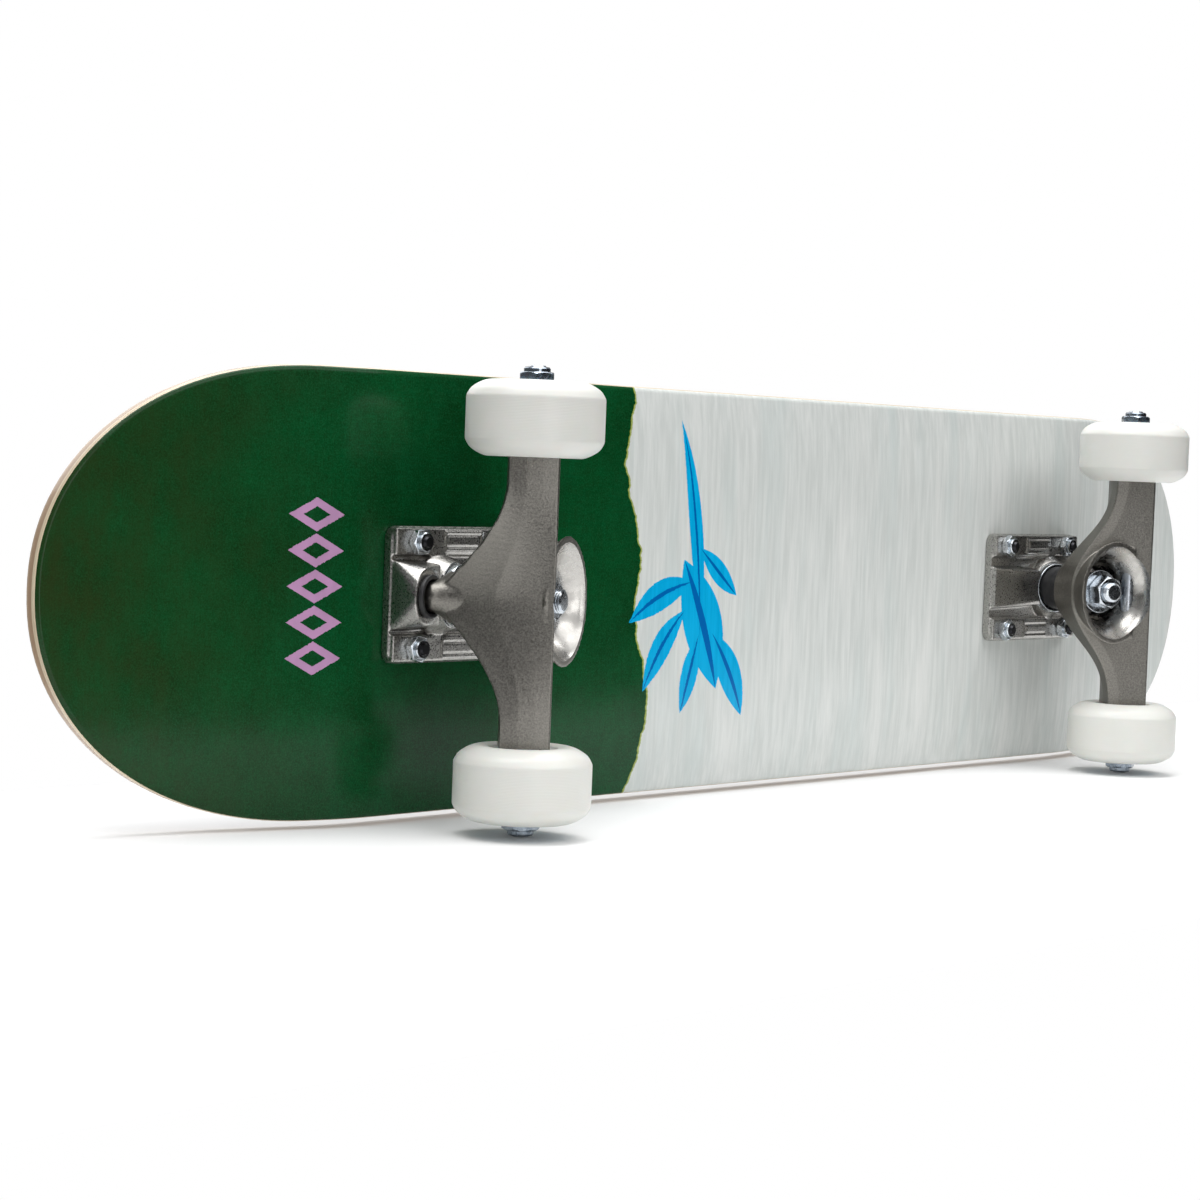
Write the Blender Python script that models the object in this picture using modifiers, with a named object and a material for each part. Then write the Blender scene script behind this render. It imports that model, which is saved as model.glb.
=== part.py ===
"""Mini complete skateboard: seven-ply deck with kicked ends, two sprung trucks and four wheels.

World frame: the board stands on its wheels at Z = 0. X runs along the deck with the nose at -X,
Y runs across it, Z is up. Truck pieces are drawn in a truck frame whose X points outward, from
the middle of the board to its end, whose origin is the bolt pattern's centre on the deck's
underside, and whose Z is up, so everything on a truck has negative Z.
"""
from math import cos, pi, radians, sin

import bmesh
import bpy
from mathutils import Matrix, Vector

MM = 0.001

# ---- deck -------------------------------------------------------------------------------------
DECK_WIDTH = 173 * MM
DECK_THICKNESS = 11 * MM              # seven maple plies
FLAT_HALF = 248 * MM                  # board centre to the start of each kick
KICK_RADIUS = 88 * MM                 # bend radius of both kicks
NOSE_ANGLE, TAIL_ANGLE = radians(22), radians(14)
END_REACH = 386.6 * MM                # board centre to either tip, measured level
ROUND_LENGTH = 104 * MM               # how much of each end the rounded outline takes
ROUND_POWER = 2.15                    # 2 is an ellipse, more is squarer
CONCAVE_RISE = 3 * MM                 # how far the long edges stand above the flat centre
CONCAVE_START = 0.55                  # where across the half width the concave begins
GRIP_THICKNESS = 0.8 * MM
GRIP_GAP = 0.5 * MM                   # keeps the flat facets of grip and deck apart in the bends
GRIP_INSET = 2.0 * MM
FIT_GAP = 0.25 * MM                   # air left between pieces that touch in the real object

# ---- trucks -----------------------------------------------------------------------------------
TRUCK_CENTRES = 418.7 * MM            # bolt pattern centre to bolt pattern centre
BOLT_SPAN_X, BOLT_SPAN_Y = 54 * MM, 41.3 * MM     # standard new-school bolt pattern
PLATE_INNER, PLATE_OUTER = -37 * MM, 39.5 * MM    # ends of the baseplate in the truck frame
PLATE_WIDTH = 53 * MM
PLATE_THICKNESS = 6 * MM
AXLE_OUT, AXLE_DROP = 13.1 * MM, 51.8 * MM
AXLE_RADIUS = 3.95 * MM
AXLE_HALF = 89.4 * MM
KINGPIN_LEAN = radians(18.5)          # from vertical, the nut end towards the board's middle
KINGPIN_SEAT = Vector((10.5 * MM, 0, -10.5 * MM)) # centre of the boss face under the bushings
KINGPIN_RADIUS = 4.7 * MM
KINGPIN_LENGTH = 46.5 * MM            # from the boss face to the end of the thread
RING_MIDDLE = 19.75 * MM              # hanger ring's middle, measured along the kingpin
RING_THICKNESS = 8.5 * MM
RING_RADIUS, RING_BORE = 15 * MM, 9.3 * MM
PIVOT_MOUTH = Vector((30.2 * MM, 0, -16 * MM))    # centre of the pivot cup's open rim
PIVOT_NOSE_RADIUS = 4.4 * MM
PIVOT_DEPTH = 6.5 * MM
CUP_RADIUS = 8.2 * MM
BEAM_END = 55.2 * MM                  # hanger's end faces, across the board
BEAM_RADIUS = 10.2 * MM

# ---- wheels -----------------------------------------------------------------------------------
WHEEL_RADIUS = 26.5 * MM
WHEEL_WIDTH = 29.3 * MM
WHEEL_CENTRE_Y = 69.2 * MM
TREAD_WIDTH = 17 * MM
BEARING_RADIUS, BEARING_BORE, BEARING_WIDTH = 11 * MM, 4.2 * MM, 7 * MM
BEARING_FACE = 12.4 * MM              # wheel centre to a bearing's outer face

DECK_Z = WHEEL_RADIUS + AXLE_DROP     # height of the deck's flat underside


def length_to_tip(angle):
    """Distance from the board's centre to a tip, measured along the curved deck."""
    straight = (END_REACH - FLAT_HALF - KICK_RADIUS * sin(angle)) / cos(angle)
    return FLAT_HALF + KICK_RADIUS * angle + straight


NOSE_LENGTH, TAIL_LENGTH = length_to_tip(NOSE_ANGLE), length_to_tip(TAIL_ANGLE)
KINGPIN_AXIS = Vector((-sin(KINGPIN_LEAN), 0, -cos(KINGPIN_LEAN)))
RING_CENTRE = KINGPIN_SEAT + KINGPIN_AXIS * RING_MIDDLE
PIVOT_AXIS = (PIVOT_MOUTH - RING_CENTRE).normalized()     # outward and up, into the pivot cup
AXLE_CENTRE = Vector((AXLE_OUT, 0, -AXLE_DROP))
ROUND_STEPS = 24


def clear_scene():
    for item in list(bpy.data.objects):
        bpy.data.objects.remove(item, do_unlink=True)


clear_scene()
cutters = bpy.data.collections.new("cutters")
bpy.context.scene.collection.children.link(cutters)
cutters.hide_render = True


# ---- materials --------------------------------------------------------------------------------
def make_material(name, colour, metallic, roughness, coat=0.0):
    material = bpy.data.materials.new(name)
    material.use_nodes = True
    shader = material.node_tree.nodes["Principled BSDF"]
    shader.inputs["Base Color"].default_value = (*colour, 1)
    shader.inputs["Metallic"].default_value = metallic
    shader.inputs["Roughness"].default_value = roughness
    shader.inputs["Coat Weight"].default_value = coat
    material.diffuse_color = (*colour, 1)
    return material


LOOKS = {
    "printed_maple": ((0.02, 0.20, 0.07), 0.0, 0.3, 0.6),
    "grip": ((0.015, 0.015, 0.016), 0.0, 0.95, 0.0),
    "zinc": ((0.62, 0.66, 0.74), 1.0, 0.32, 0.0),
    "cast_aluminium": ((0.55, 0.54, 0.52), 1.0, 0.42, 0.0),
    "bushing_urethane": ((0.012, 0.012, 0.013), 0.0, 0.45, 0.0),
    "chrome_steel": ((0.78, 0.79, 0.80), 1.0, 0.15, 0.0),
    "wheel_urethane": ((0.82, 0.82, 0.78), 0.0, 0.4, 0.0),
}


def material_for(name, look):
    return make_material(name + "_surface", *LOOKS[look])


# ---- modelling helpers ------------------------------------------------------------------------
def new_object(name, mesh, collection=None):
    made = bpy.data.objects.new(name, mesh)
    (collection or bpy.context.scene.collection).objects.link(made)
    return made


def as_cutter(made):
    for owner in list(made.users_collection):
        owner.objects.unlink(made)
    cutters.objects.link(made)
    made.hide_render = True
    made.display_type = "WIRE"
    return made


def aim(direction, origin=Vector((0, 0, 0))):
    """Matrix that carries local +Z onto a direction and the local origin onto a point."""
    turn = Vector((0, 0, 1)).rotation_difference(direction)
    return Matrix.Translation(origin) @ turn.to_matrix().to_4x4()


def lathe(name, profile, steps=ROUND_STEPS, closed=False):
    """Turn a profile of (radius, height) points, given from the top down, about local Z."""
    mesh = bpy.data.meshes.new(name)
    count = len(profile)
    edges = [(i, i + 1) for i in range(count - 1)]
    if closed:
        edges.append((count - 1, 0))
    mesh.from_pydata([(r, 0, z) for r, z in profile], edges, [])
    made = new_object(name, mesh)
    screw = made.modifiers.new("turn", "SCREW")
    screw.axis = "Z"
    screw.angle = 2 * pi
    screw.steps = screw.render_steps = steps
    screw.use_merge_vertices = True
    screw.merge_threshold = 0.00001
    screw.use_smooth_shade = False
    return made


def cylinder(name, radius, bottom, top, steps=ROUND_STEPS):
    return lathe(name, [(0, top), (radius, top), (radius, bottom), (0, bottom)], steps)


def slab(name, outline, bottom, height, bevel=0.0):
    """Extrude a flat outline, given anticlockwise, upward from a height."""
    mesh = bpy.data.meshes.new(name)
    mesh.from_pydata([(x, y, bottom) for x, y in outline], [], [list(range(len(outline)))])
    made = new_object(name, mesh)
    solid = made.modifiers.new("thickness", "SOLIDIFY")
    solid.thickness = height
    solid.offset = 1
    if bevel:
        add_bevel(made, bevel)
    return made


def add_bevel(made, width, segments=2):
    bevel = made.modifiers.new("edges", "BEVEL")
    bevel.width = width
    bevel.segments = segments
    bevel.limit_method = "ANGLE"
    bevel.angle_limit = radians(40)


def rounded_rectangle(x_low, x_high, half_y, radius, corner_steps=6):
    points = []
    corners = ((x_high, half_y, 0), (x_low, half_y, 90), (x_low, -half_y, 180), (x_high, -half_y, 270))
    for x, y, start in corners:
        centre_x = x - radius if x == x_high else x + radius
        centre_y = y - radius if y > 0 else y + radius
        for step in range(corner_steps + 1):
            angle = radians(start + 90 * step / corner_steps)
            points.append((centre_x + radius * cos(angle), centre_y + radius * sin(angle)))
    return points


def hull(name, points):
    """Smallest convex solid around the points."""
    work = bmesh.new()
    for point in points:
        work.verts.new(point)
    result = bmesh.ops.convex_hull(work, input=work.verts)
    spare = [item for item in result["geom_interior"] if isinstance(item, bmesh.types.BMVert)]
    bmesh.ops.delete(work, geom=spare, context="VERTS")
    bmesh.ops.recalc_face_normals(work, faces=work.faces)
    mesh = bpy.data.meshes.new(name)
    work.to_mesh(mesh)
    work.free()
    return new_object(name, mesh)


def combine(target, operation, other):
    modifier = target.modifiers.new(operation.lower(), "BOOLEAN")
    modifier.operation = operation
    modifier.solver = "EXACT"
    modifier.object = as_cutter(other)


def place(made, matrix, name=None, look=None, smooth_angle=radians(35)):
    """Put a finished piece in the world with its name, material and smooth shading."""
    made.matrix_world = matrix
    if look:
        made.data.materials.clear()
        made.data.materials.append(material_for(name or made.name, look))
    bpy.context.view_layer.update()
    return made


def hexagon_nut(name, across_flats, height, bore):
    """A nut standing on local Z = 0 with its top corners chamfered and a round bore."""
    corner = across_flats / cos(pi / 6) / 2
    nut = cylinder(name, corner, 0, height, steps=6)
    edge = across_flats / 2
    fall = (corner - edge) * 0.6
    shell = lathe(name + "_chamfer", [(0, height), (edge, height), (corner + 0.2 * MM, height - fall),
                                      (corner + 0.2 * MM, -MM), (0, -MM)], 18)
    combine(nut, "INTERSECT", shell)
    combine(nut, "DIFFERENCE", cylinder(name + "_bore", bore, -MM, height + MM, 14))
    return nut


# ---- deck surface -----------------------------------------------------------------------------
def deck_centreline(distance, angle):
    """Place and slope of the deck's middle at a distance along it from the board's centre."""
    if distance <= FLAT_HALF:
        return distance, 0.0, 0.0
    turned = min((distance - FLAT_HALF) / KICK_RADIUS, angle)
    straight = distance - FLAT_HALF - KICK_RADIUS * turned
    out = FLAT_HALF + KICK_RADIUS * sin(turned) + straight * cos(turned)
    up = KICK_RADIUS * (1 - cos(turned)) + straight * sin(turned)
    return out, up, turned


def deck_half_width(distance, length, half_width):
    beyond = max(0.0, (distance - (length - ROUND_LENGTH)) / ROUND_LENGTH)
    return half_width * max(0.0, 1 - min(beyond, 1.0) ** ROUND_POWER) ** (1 / ROUND_POWER)


def deck_point(side, distance, across, inset, lift):
    """A point of the deck; side is -1 for the nose half, across runs from -1 to 1."""
    angle, length = (NOSE_ANGLE, NOSE_LENGTH) if side < 0 else (TAIL_ANGLE, TAIL_LENGTH)
    x, z, slope = deck_centreline(distance, angle)
    half = deck_half_width(distance, length, DECK_WIDTH / 2 - inset)
    y = half * across
    beyond = max(0.0, abs(y) / (DECK_WIDTH / 2) - CONCAVE_START) / (1 - CONCAVE_START)
    rise = CONCAVE_RISE * beyond ** 2 + lift
    return Vector((side * (x - rise * sin(slope)), y, DECK_Z + z + rise * cos(slope)))


def deck_sheet(name, inset, lift, thickness, along=16, across=8):
    """The deck's curved outline as a closed sheet of even thickness, its underside at lift."""
    work = bmesh.new()
    rows = []
    for side in (-1, 1):
        length = (NOSE_LENGTH if side < 0 else TAIL_LENGTH) - inset
        steps = range(along, 0, -1) if side < 0 else range(0, along + 1)
        for step in steps:
            distance = length * sin(pi / 2 * step / along)
            if step == along:
                rows.append([work.verts.new(deck_point(side, length, 0, inset, lift))])
                continue
            scale = (NOSE_LENGTH if side < 0 else TAIL_LENGTH) / length
            row = []
            for column in range(across + 1):
                share = sin(pi / 2 * (2 * column / across - 1))
                point = deck_point(side, distance * scale, share, inset, lift)
                flat = deck_point(side, distance, share, inset, lift)
                row.append(work.verts.new((flat.x, point.y, flat.z)))
            rows.append(row)
    for near, far in zip(rows, rows[1:]):
        for column in range(across):
            if len(near) == 1:
                work.faces.new((near[0], far[column], far[column + 1]))
            elif len(far) == 1:
                work.faces.new((near[column], far[0], near[column + 1]))
            else:
                work.faces.new((near[column], far[column], far[column + 1], near[column + 1]))
    bmesh.ops.recalc_face_normals(work, faces=work.faces)
    work.normal_update()
    if sum(face.normal.z for face in work.faces) < 0:
        bmesh.ops.reverse_faces(work, faces=work.faces)
    mesh = bpy.data.meshes.new(name)
    work.to_mesh(mesh)
    work.free()
    made = new_object(name, mesh)
    solid = made.modifiers.new("thickness", "SOLIDIFY")
    solid.thickness = thickness
    solid.offset = 1
    return made


def bolt_places():
    """Name and world X, Y of each deck bolt."""
    for truck, side in (("front", -1), ("rear", 1)):
        for number, (out, across) in enumerate(((1, 1), (1, -1), (-1, 1), (-1, -1)), 1):
            x = side * (TRUCK_CENTRES / 2 + out * BOLT_SPAN_X / 2)
            yield truck + "_" + str(number), x, across * BOLT_SPAN_Y / 2


BOLT_RADIUS = 2.35 * MM
HEAD_RADIUS, HEAD_DEPTH = 4.8 * MM, 2.6 * MM
NUT_HEIGHT = 4.8 * MM
DECK_TOP = DECK_Z + DECK_THICKNESS
GRIP_TOP = DECK_TOP + GRIP_GAP + GRIP_THICKNESS


def build_deck():
    deck = deck_sheet("deck", 0, 0, DECK_THICKNESS)
    add_bevel(deck, 1.6 * MM, 1)
    grip = deck_sheet("grip_tape", GRIP_INSET, DECK_THICKNESS + GRIP_GAP, GRIP_THICKNESS)
    clearance = BOLT_RADIUS + FIT_GAP
    for name, x, y in bolt_places():
        hole = lathe("hole_" + name, [
            (0, GRIP_TOP + MM), (HEAD_RADIUS + FIT_GAP, GRIP_TOP + MM),
            (HEAD_RADIUS + FIT_GAP, GRIP_TOP - 0.2 * MM), (clearance, GRIP_TOP - HEAD_DEPTH - 0.2 * MM),
            (clearance, DECK_Z - MM), (0, DECK_Z - MM)], 16)
        hole.location = (x, y, 0)
        combine(deck, "DIFFERENCE", hole)
        grip_hole = cylinder("grip_hole_" + name, HEAD_RADIUS + FIT_GAP, DECK_Z, GRIP_TOP + MM, 16)
        grip_hole.location = (x, y, 0)
        combine(grip, "DIFFERENCE", grip_hole)
    place(deck, Matrix(), "deck", "printed_maple")
    place(grip, Matrix(), "grip_tape", "grip")


def build_deck_hardware():
    """Countersunk bolts from the top, each with its own nut under the baseplate."""
    nut_top = DECK_Z - PLATE_THICKNESS - FIT_GAP
    for name, x, y in bolt_places():
        end = nut_top - NUT_HEIGHT - 1.2 * MM
        bolt = lathe("deck_bolt_" + name, [
            (0, GRIP_TOP - 0.1 * MM), (HEAD_RADIUS - 0.1 * MM, GRIP_TOP - 0.1 * MM),
            (HEAD_RADIUS - 0.1 * MM, GRIP_TOP - 0.5 * MM), (BOLT_RADIUS, GRIP_TOP - HEAD_DEPTH - 0.3 * MM),
            (BOLT_RADIUS, end + 0.5 * MM), (BOLT_RADIUS - 0.5 * MM, end), (0, end)], 16)
        socket = cylinder("socket_" + name, 1.8 * MM, GRIP_TOP - 2 * MM, GRIP_TOP + MM, 6)
        combine(bolt, "DIFFERENCE", socket)
        place(socket, Matrix.Translation((x, y, 0)))
        place(bolt, Matrix.Translation((x, y, 0)), bolt.name, "zinc")
        nut = hexagon_nut("deck_nut_" + name, 9.5 * MM, NUT_HEIGHT, BOLT_RADIUS + FIT_GAP)
        upside_down = Matrix.Translation((x, y, nut_top)) @ Matrix.Rotation(pi, 4, "X")
        for tool in boolean_tools(nut):
            place(tool, upside_down)
        place(nut, upside_down, nut.name, "zinc")


# ---- truck pieces -----------------------------------------------------------------------------
def place_on_truck(made, truck_matrix, local, look):
    """Place a piece and all of its cutters, each of which carries its own truck-frame matrix."""
    for tool in boolean_tools(made):
        place(tool, truck_matrix @ tool.matrix_world)
    place(made, truck_matrix @ local, made.name, look)


def shaped(made, matrix):
    made.matrix_world = matrix
    return made


def boolean_tools(made):
    return [modifier.object for modifier in made.modifiers if modifier.type == "BOOLEAN"]


def aim_tools(made, matrix):
    for tool in boolean_tools(made):
        tool.matrix_world = matrix


def build_baseplate(truck, truck_matrix):
    """Flange, kingpin boss and pivot housing in one casting, cut flush with the deck."""
    outline = rounded_rectangle(PLATE_INNER, PLATE_OUTER, PLATE_WIDTH / 2, 8 * MM)
    plate = slab("baseplate_" + truck, outline, -PLATE_THICKNESS, PLATE_THICKNESS + 4 * MM, 1.2 * MM)
    boss = shaped(lathe("boss_" + truck, [
        (0, 14 * MM), (17 * MM, 14 * MM), (17 * MM, 6 * MM), (13 * MM, 0.4 * MM),
        (12.6 * MM, -0.6 * MM), (0, -0.6 * MM)]), aim(-KINGPIN_AXIS, KINGPIN_SEAT))
    housing = shaped(lathe("housing_" + truck, [
        (0, 14 * MM), (11.5 * MM, 14 * MM), (11.5 * MM, 1.2 * MM), (10.3 * MM, 0), (0, 0)]),
        aim(PIVOT_AXIS, PIVOT_MOUTH))
    combine(plate, "UNION", boss)
    combine(plate, "UNION", housing)
    for side in (-1, 1):
        rib = hull("rib_" + truck + ("_left" if side > 0 else "_right"), [
            (x, side * y + dy, z) for x, y, z, half in (
                (-33 * MM, 10 * MM, -7.5 * MM, 1.4 * MM), (-3 * MM, 6.8 * MM, -9.0 * MM, 1.4 * MM),
                (-33 * MM, 10 * MM, -2 * MM, 2.0 * MM), (-3 * MM, 6.8 * MM, -2 * MM, 2.0 * MM))
            for dy in (-half, half)])
        combine(plate, "UNION", rib)
    above = slab("above_" + truck, rounded_rectangle(-80 * MM, 80 * MM, 60 * MM, MM, 1), -FIT_GAP, 30 * MM)
    combine(plate, "DIFFERENCE", above)
    for out in (-1, 1):
        for across in (-1, 1):
            hole = shaped(cylinder("plate_hole_%s_%d_%d" % (truck, out, across), BOLT_RADIUS + 0.35 * MM,
                                   -12 * MM, 2 * MM, 16),
                          Matrix.Translation((out * BOLT_SPAN_X / 2, across * BOLT_SPAN_Y / 2, 0)))
            combine(plate, "DIFFERENCE", hole)
    shaft = KINGPIN_RADIUS + FIT_GAP
    kingpin_room = shaped(lathe("kingpin_room_" + truck, [
        (0, 24 * MM), (8.7 * MM, 24 * MM), (8.7 * MM, 4.5 * MM), (shaft, 4.5 * MM), (shaft, 0),
        (13.2 * MM, 0), (13.2 * MM, -16 * MM), (0, -16 * MM)]), aim(-KINGPIN_AXIS, KINGPIN_SEAT))
    bore, rim = CUP_RADIUS - 0.9 * MM, CUP_RADIUS + 0.5 * MM
    socket = shaped(lathe("cup_socket_" + truck, [
        (0, PIVOT_DEPTH + 2.2 * MM), (bore, PIVOT_DEPTH + 2.2 * MM), (bore, 0), (rim, 0),
        (rim, -7 * MM), (0, -7 * MM)]), aim(PIVOT_AXIS, PIVOT_MOUTH))
    for tool in (kingpin_room, socket):
        combine(plate, "DIFFERENCE", tool)
    place_on_truck(plate, truck_matrix, Matrix(), "cast_aluminium")


def build_pivot_cup(truck, truck_matrix):
    wall = CUP_RADIUS - 0.9 * MM - FIT_GAP
    bore = PIVOT_NOSE_RADIUS + FIT_GAP
    cup = lathe("pivot_cup_" + truck, [
        (0, PIVOT_DEPTH + 1.8 * MM), (wall - 0.8 * MM, PIVOT_DEPTH + 1.8 * MM),
        (wall, PIVOT_DEPTH), (wall, -FIT_GAP), (CUP_RADIUS, -FIT_GAP), (CUP_RADIUS, -1.6 * MM),
        (CUP_RADIUS - 0.6 * MM, -2.2 * MM), (bore, -2.2 * MM), (bore, PIVOT_DEPTH - 1.5 * MM),
        (0, PIVOT_DEPTH - 1.5 * MM)])
    place_on_truck(cup, truck_matrix, aim(PIVOT_AXIS, PIVOT_MOUTH), "bushing_urethane")


# Stations of the bushing stack, measured along the kingpin from the boss face.
RING_LOW = RING_MIDDLE - RING_THICKNESS / 2
RING_HIGH = RING_MIDDLE + RING_THICKNESS / 2
BOTTOM_WASHER = (FIT_GAP, 1.8 * MM)
BOTTOM_BUSHING = (2.1 * MM, RING_LOW - FIT_GAP)
TOP_BUSHING = (RING_HIGH + FIT_GAP, 34 * MM)
TOP_WASHER = (34.3 * MM, 35.8 * MM)
KINGPIN_NUT = (36.1 * MM, 43.6 * MM)


def washer(name, radius, bore, low, high, lip):
    """A cupped washer whose rim turns up by the lip towards larger heights."""
    return lathe(name, [
        (radius, high + lip), (radius, low), (bore, low), (bore, high), (radius - 1.3 * MM, high),
        (radius - 1.1 * MM, high + lip)], closed=True)


def bushing(name, radius, bore, low, high):
    waist = radius - 0.7 * MM
    middle = (low + high) / 2
    return lathe(name, [
        (bore, high), (radius - 0.8 * MM, high), (radius, high - 1.2 * MM), (waist, middle),
        (radius, low + 1.2 * MM), (radius - 0.8 * MM, low), (bore, low)], closed=True)


def build_steering_stack(truck, truck_matrix):
    """Kingpin, two bushings, two cupped washers and the kingpin nut, all about the kingpin."""
    along = aim(KINGPIN_AXIS, KINGPIN_SEAT)
    clear = KINGPIN_RADIUS + FIT_GAP
    head = cylinder("kingpin_head_" + truck, 8 * MM, -9.4 * MM, -4.8 * MM, 6)
    kingpin = lathe("kingpin_" + truck, [
        (0, KINGPIN_LENGTH), (KINGPIN_RADIUS - 0.9 * MM, KINGPIN_LENGTH),
        (KINGPIN_RADIUS, KINGPIN_LENGTH - MM), (KINGPIN_RADIUS, -6 * MM), (0, -6 * MM)])
    head.matrix_world = along
    combine(kingpin, "UNION", head)
    above = slab("above_kingpin_" + truck, rounded_rectangle(-80 * MM, 80 * MM, 60 * MM, MM, 1),
                 -0.5 * MM, 40 * MM)
    combine(kingpin, "DIFFERENCE", above)
    place_on_truck(kingpin, truck_matrix, along, "zinc")
    pieces = (
        (washer("bottom_washer_" + truck, 12.3 * MM, clear, *BOTTOM_WASHER, 1.2 * MM), "chrome_steel"),
        (bushing("bottom_bushing_" + truck, 10.8 * MM, clear, *BOTTOM_BUSHING), "bushing_urethane"),
        (bushing("top_bushing_" + truck, 9.2 * MM, clear, *TOP_BUSHING), "bushing_urethane"))
    for piece, look in pieces:
        place_on_truck(piece, truck_matrix, along, look)
    flipped = aim(-KINGPIN_AXIS, KINGPIN_SEAT)
    top = washer("top_washer_" + truck, 10.6 * MM, clear, -TOP_WASHER[1], -TOP_WASHER[0], 1.0 * MM)
    place_on_truck(top, truck_matrix, flipped, "chrome_steel")
    nut = hexagon_nut("kingpin_nut_" + truck, 14.2 * MM, KINGPIN_NUT[1] - KINGPIN_NUT[0], clear)
    seat = along @ Matrix.Translation((0, 0, KINGPIN_NUT[0]))
    aim_tools(nut, seat)
    place_on_truck(nut, truck_matrix, seat, "zinc")


def build_hanger(truck, truck_matrix):
    """Beam over the axle, ring round the bushings and a spine that ends in the pivot nose."""
    beam = lathe("beam_" + truck, [
        (0, BEAM_END), (7.5 * MM, BEAM_END), (BEAM_RADIUS, BEAM_END - 2.5 * MM),
        (BEAM_RADIUS - 1.4 * MM, 22 * MM), (BEAM_RADIUS - 1.4 * MM, -22 * MM),
        (BEAM_RADIUS, -BEAM_END + 2.5 * MM), (7.5 * MM, -BEAM_END), (0, -BEAM_END)])
    shaped(beam, aim(Vector((0, 1, 0)), AXLE_CENTRE))
    hanger = lathe("hanger_" + truck, [
        (0, RING_THICKNESS / 2), (RING_RADIUS - 1.2 * MM, RING_THICKNESS / 2),
        (RING_RADIUS, RING_THICKNESS / 2 - 1.2 * MM), (RING_RADIUS, -RING_THICKNESS / 2 + 1.2 * MM),
        (RING_RADIUS - 1.2 * MM, -RING_THICKNESS / 2), (0, -RING_THICKNESS / 2)])
    ring_matrix = aim(KINGPIN_AXIS, RING_CENTRE)
    neck = PIVOT_MOUTH - PIVOT_AXIS * 5.2 * MM
    spine_points = []
    for angle in range(0, 360, 30):
        spread, rise = cos(radians(angle)), sin(radians(angle))
        spine_points.append((neck.x + 2.2 * MM * rise, 5.2 * MM * spread, neck.z + 4.6 * MM * rise))
    for across in (-30 * MM, 30 * MM):
        for angle in range(0, 360, 45):
            spine_points.append((AXLE_CENTRE.x + 3.5 * MM + 5 * MM * cos(radians(angle)), across,
                                 AXLE_CENTRE.z + 1.5 * MM + 5 * MM * sin(radians(angle))))
    spine = hull("spine_" + truck, spine_points)
    nose = shaped(lathe("nose_" + truck, [
        (0, PIVOT_DEPTH - 2.2 * MM), (PIVOT_NOSE_RADIUS - 1.6 * MM, PIVOT_DEPTH - 2.2 * MM),
        (PIVOT_NOSE_RADIUS, PIVOT_DEPTH - 3.8 * MM), (PIVOT_NOSE_RADIUS, -4.2 * MM),
        (PIVOT_NOSE_RADIUS, -6.5 * MM), (0, -6.5 * MM)]), aim(PIVOT_AXIS, PIVOT_MOUTH))
    webs = []
    for across in (-1, 1):
        webs.append(hull("web_%s_%d" % (truck, across), [
            RING_CENTRE + KINGPIN_AXIS * h + Vector((dx * MM, across * y * MM, 0))
            for h in (-RING_THICKNESS * 0.42, RING_THICKNESS * 0.42)
            for dx, y in ((6, 9), (8, 13.5), (13, 9))] + [
            AXLE_CENTRE + Vector((dx * MM, across * y * MM, dz * MM))
            for dx, dz in ((-4, 5), (5, 6), (0, -2)) for y in (16, 40)]))
    for piece in [beam, spine, nose] + webs:
        combine(hanger, "UNION", piece)
    bore = shaped(cylinder("ring_bore_" + truck, RING_BORE, RING_LOW - 3 * MM, RING_HIGH + 3 * MM),
                  aim(KINGPIN_AXIS, KINGPIN_SEAT))
    combine(hanger, "DIFFERENCE", bore)
    pocket = 11.1 * MM
    for name, radius, low, high in (
            ("below", 13.6 * MM, -14 * MM, RING_LOW), ("above", pocket, RING_HIGH, 62 * MM)):
        circle = [radians(15 * step + 5) for step in range(24)]
        room = hull("room_%s_%s" % (name, truck), [
            (radius * cos(angle), radius * sin(angle) + shift, height)
            for angle in circle for shift in (-2.4 * MM, 2.4 * MM) for height in (low, high)])
        combine(hanger, "DIFFERENCE", shaped(room, aim(KINGPIN_AXIS, KINGPIN_SEAT)))
    axle_bore = shaped(cylinder("axle_bore_" + truck, AXLE_RADIUS + FIT_GAP, -80 * MM, 80 * MM, 28),
                       aim(Vector((0, 1, 0)), AXLE_CENTRE))
    combine(hanger, "DIFFERENCE", axle_bore)
    place_on_truck(hanger, truck_matrix, ring_matrix, "cast_aluminium")


def build_axle(truck, truck_matrix):
    end = AXLE_HALF
    axle = lathe("axle_" + truck, [
        (0, end), (AXLE_RADIUS - 0.8 * MM, end), (AXLE_RADIUS, end - 0.8 * MM),
        (AXLE_RADIUS, -end + 0.8 * MM), (AXLE_RADIUS - 0.8 * MM, -end), (0, -end)], 28)
    place_on_truck(axle, truck_matrix, aim(Vector((0, 1, 0)), AXLE_CENTRE), "zinc")


def wheel_profile():
    """Closed section of the wheel from its outer edge down: tread, shoulders and bearing seats."""
    half, tread = WHEEL_WIDTH / 2, TREAD_WIDTH / 2
    seat, ridge = BEARING_RADIUS + FIT_GAP, 9 * MM
    inner = BEARING_FACE - BEARING_WIDTH - FIT_GAP
    drop = (half - tread) * 0.55
    upper = [(WHEEL_RADIUS - drop * (1 - sin(radians(a))), tread + (half - tread) * cos(radians(a)))
             for a in (0, 30, 60, 90)]
    face = [(seat, half - 1.4 * MM), (seat + 4 * MM, half)]
    upper_side = [(ridge, inner), (seat, inner)] + face + upper
    return upper_side + [(r, -z) for r, z in reversed(upper_side)]


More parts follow.
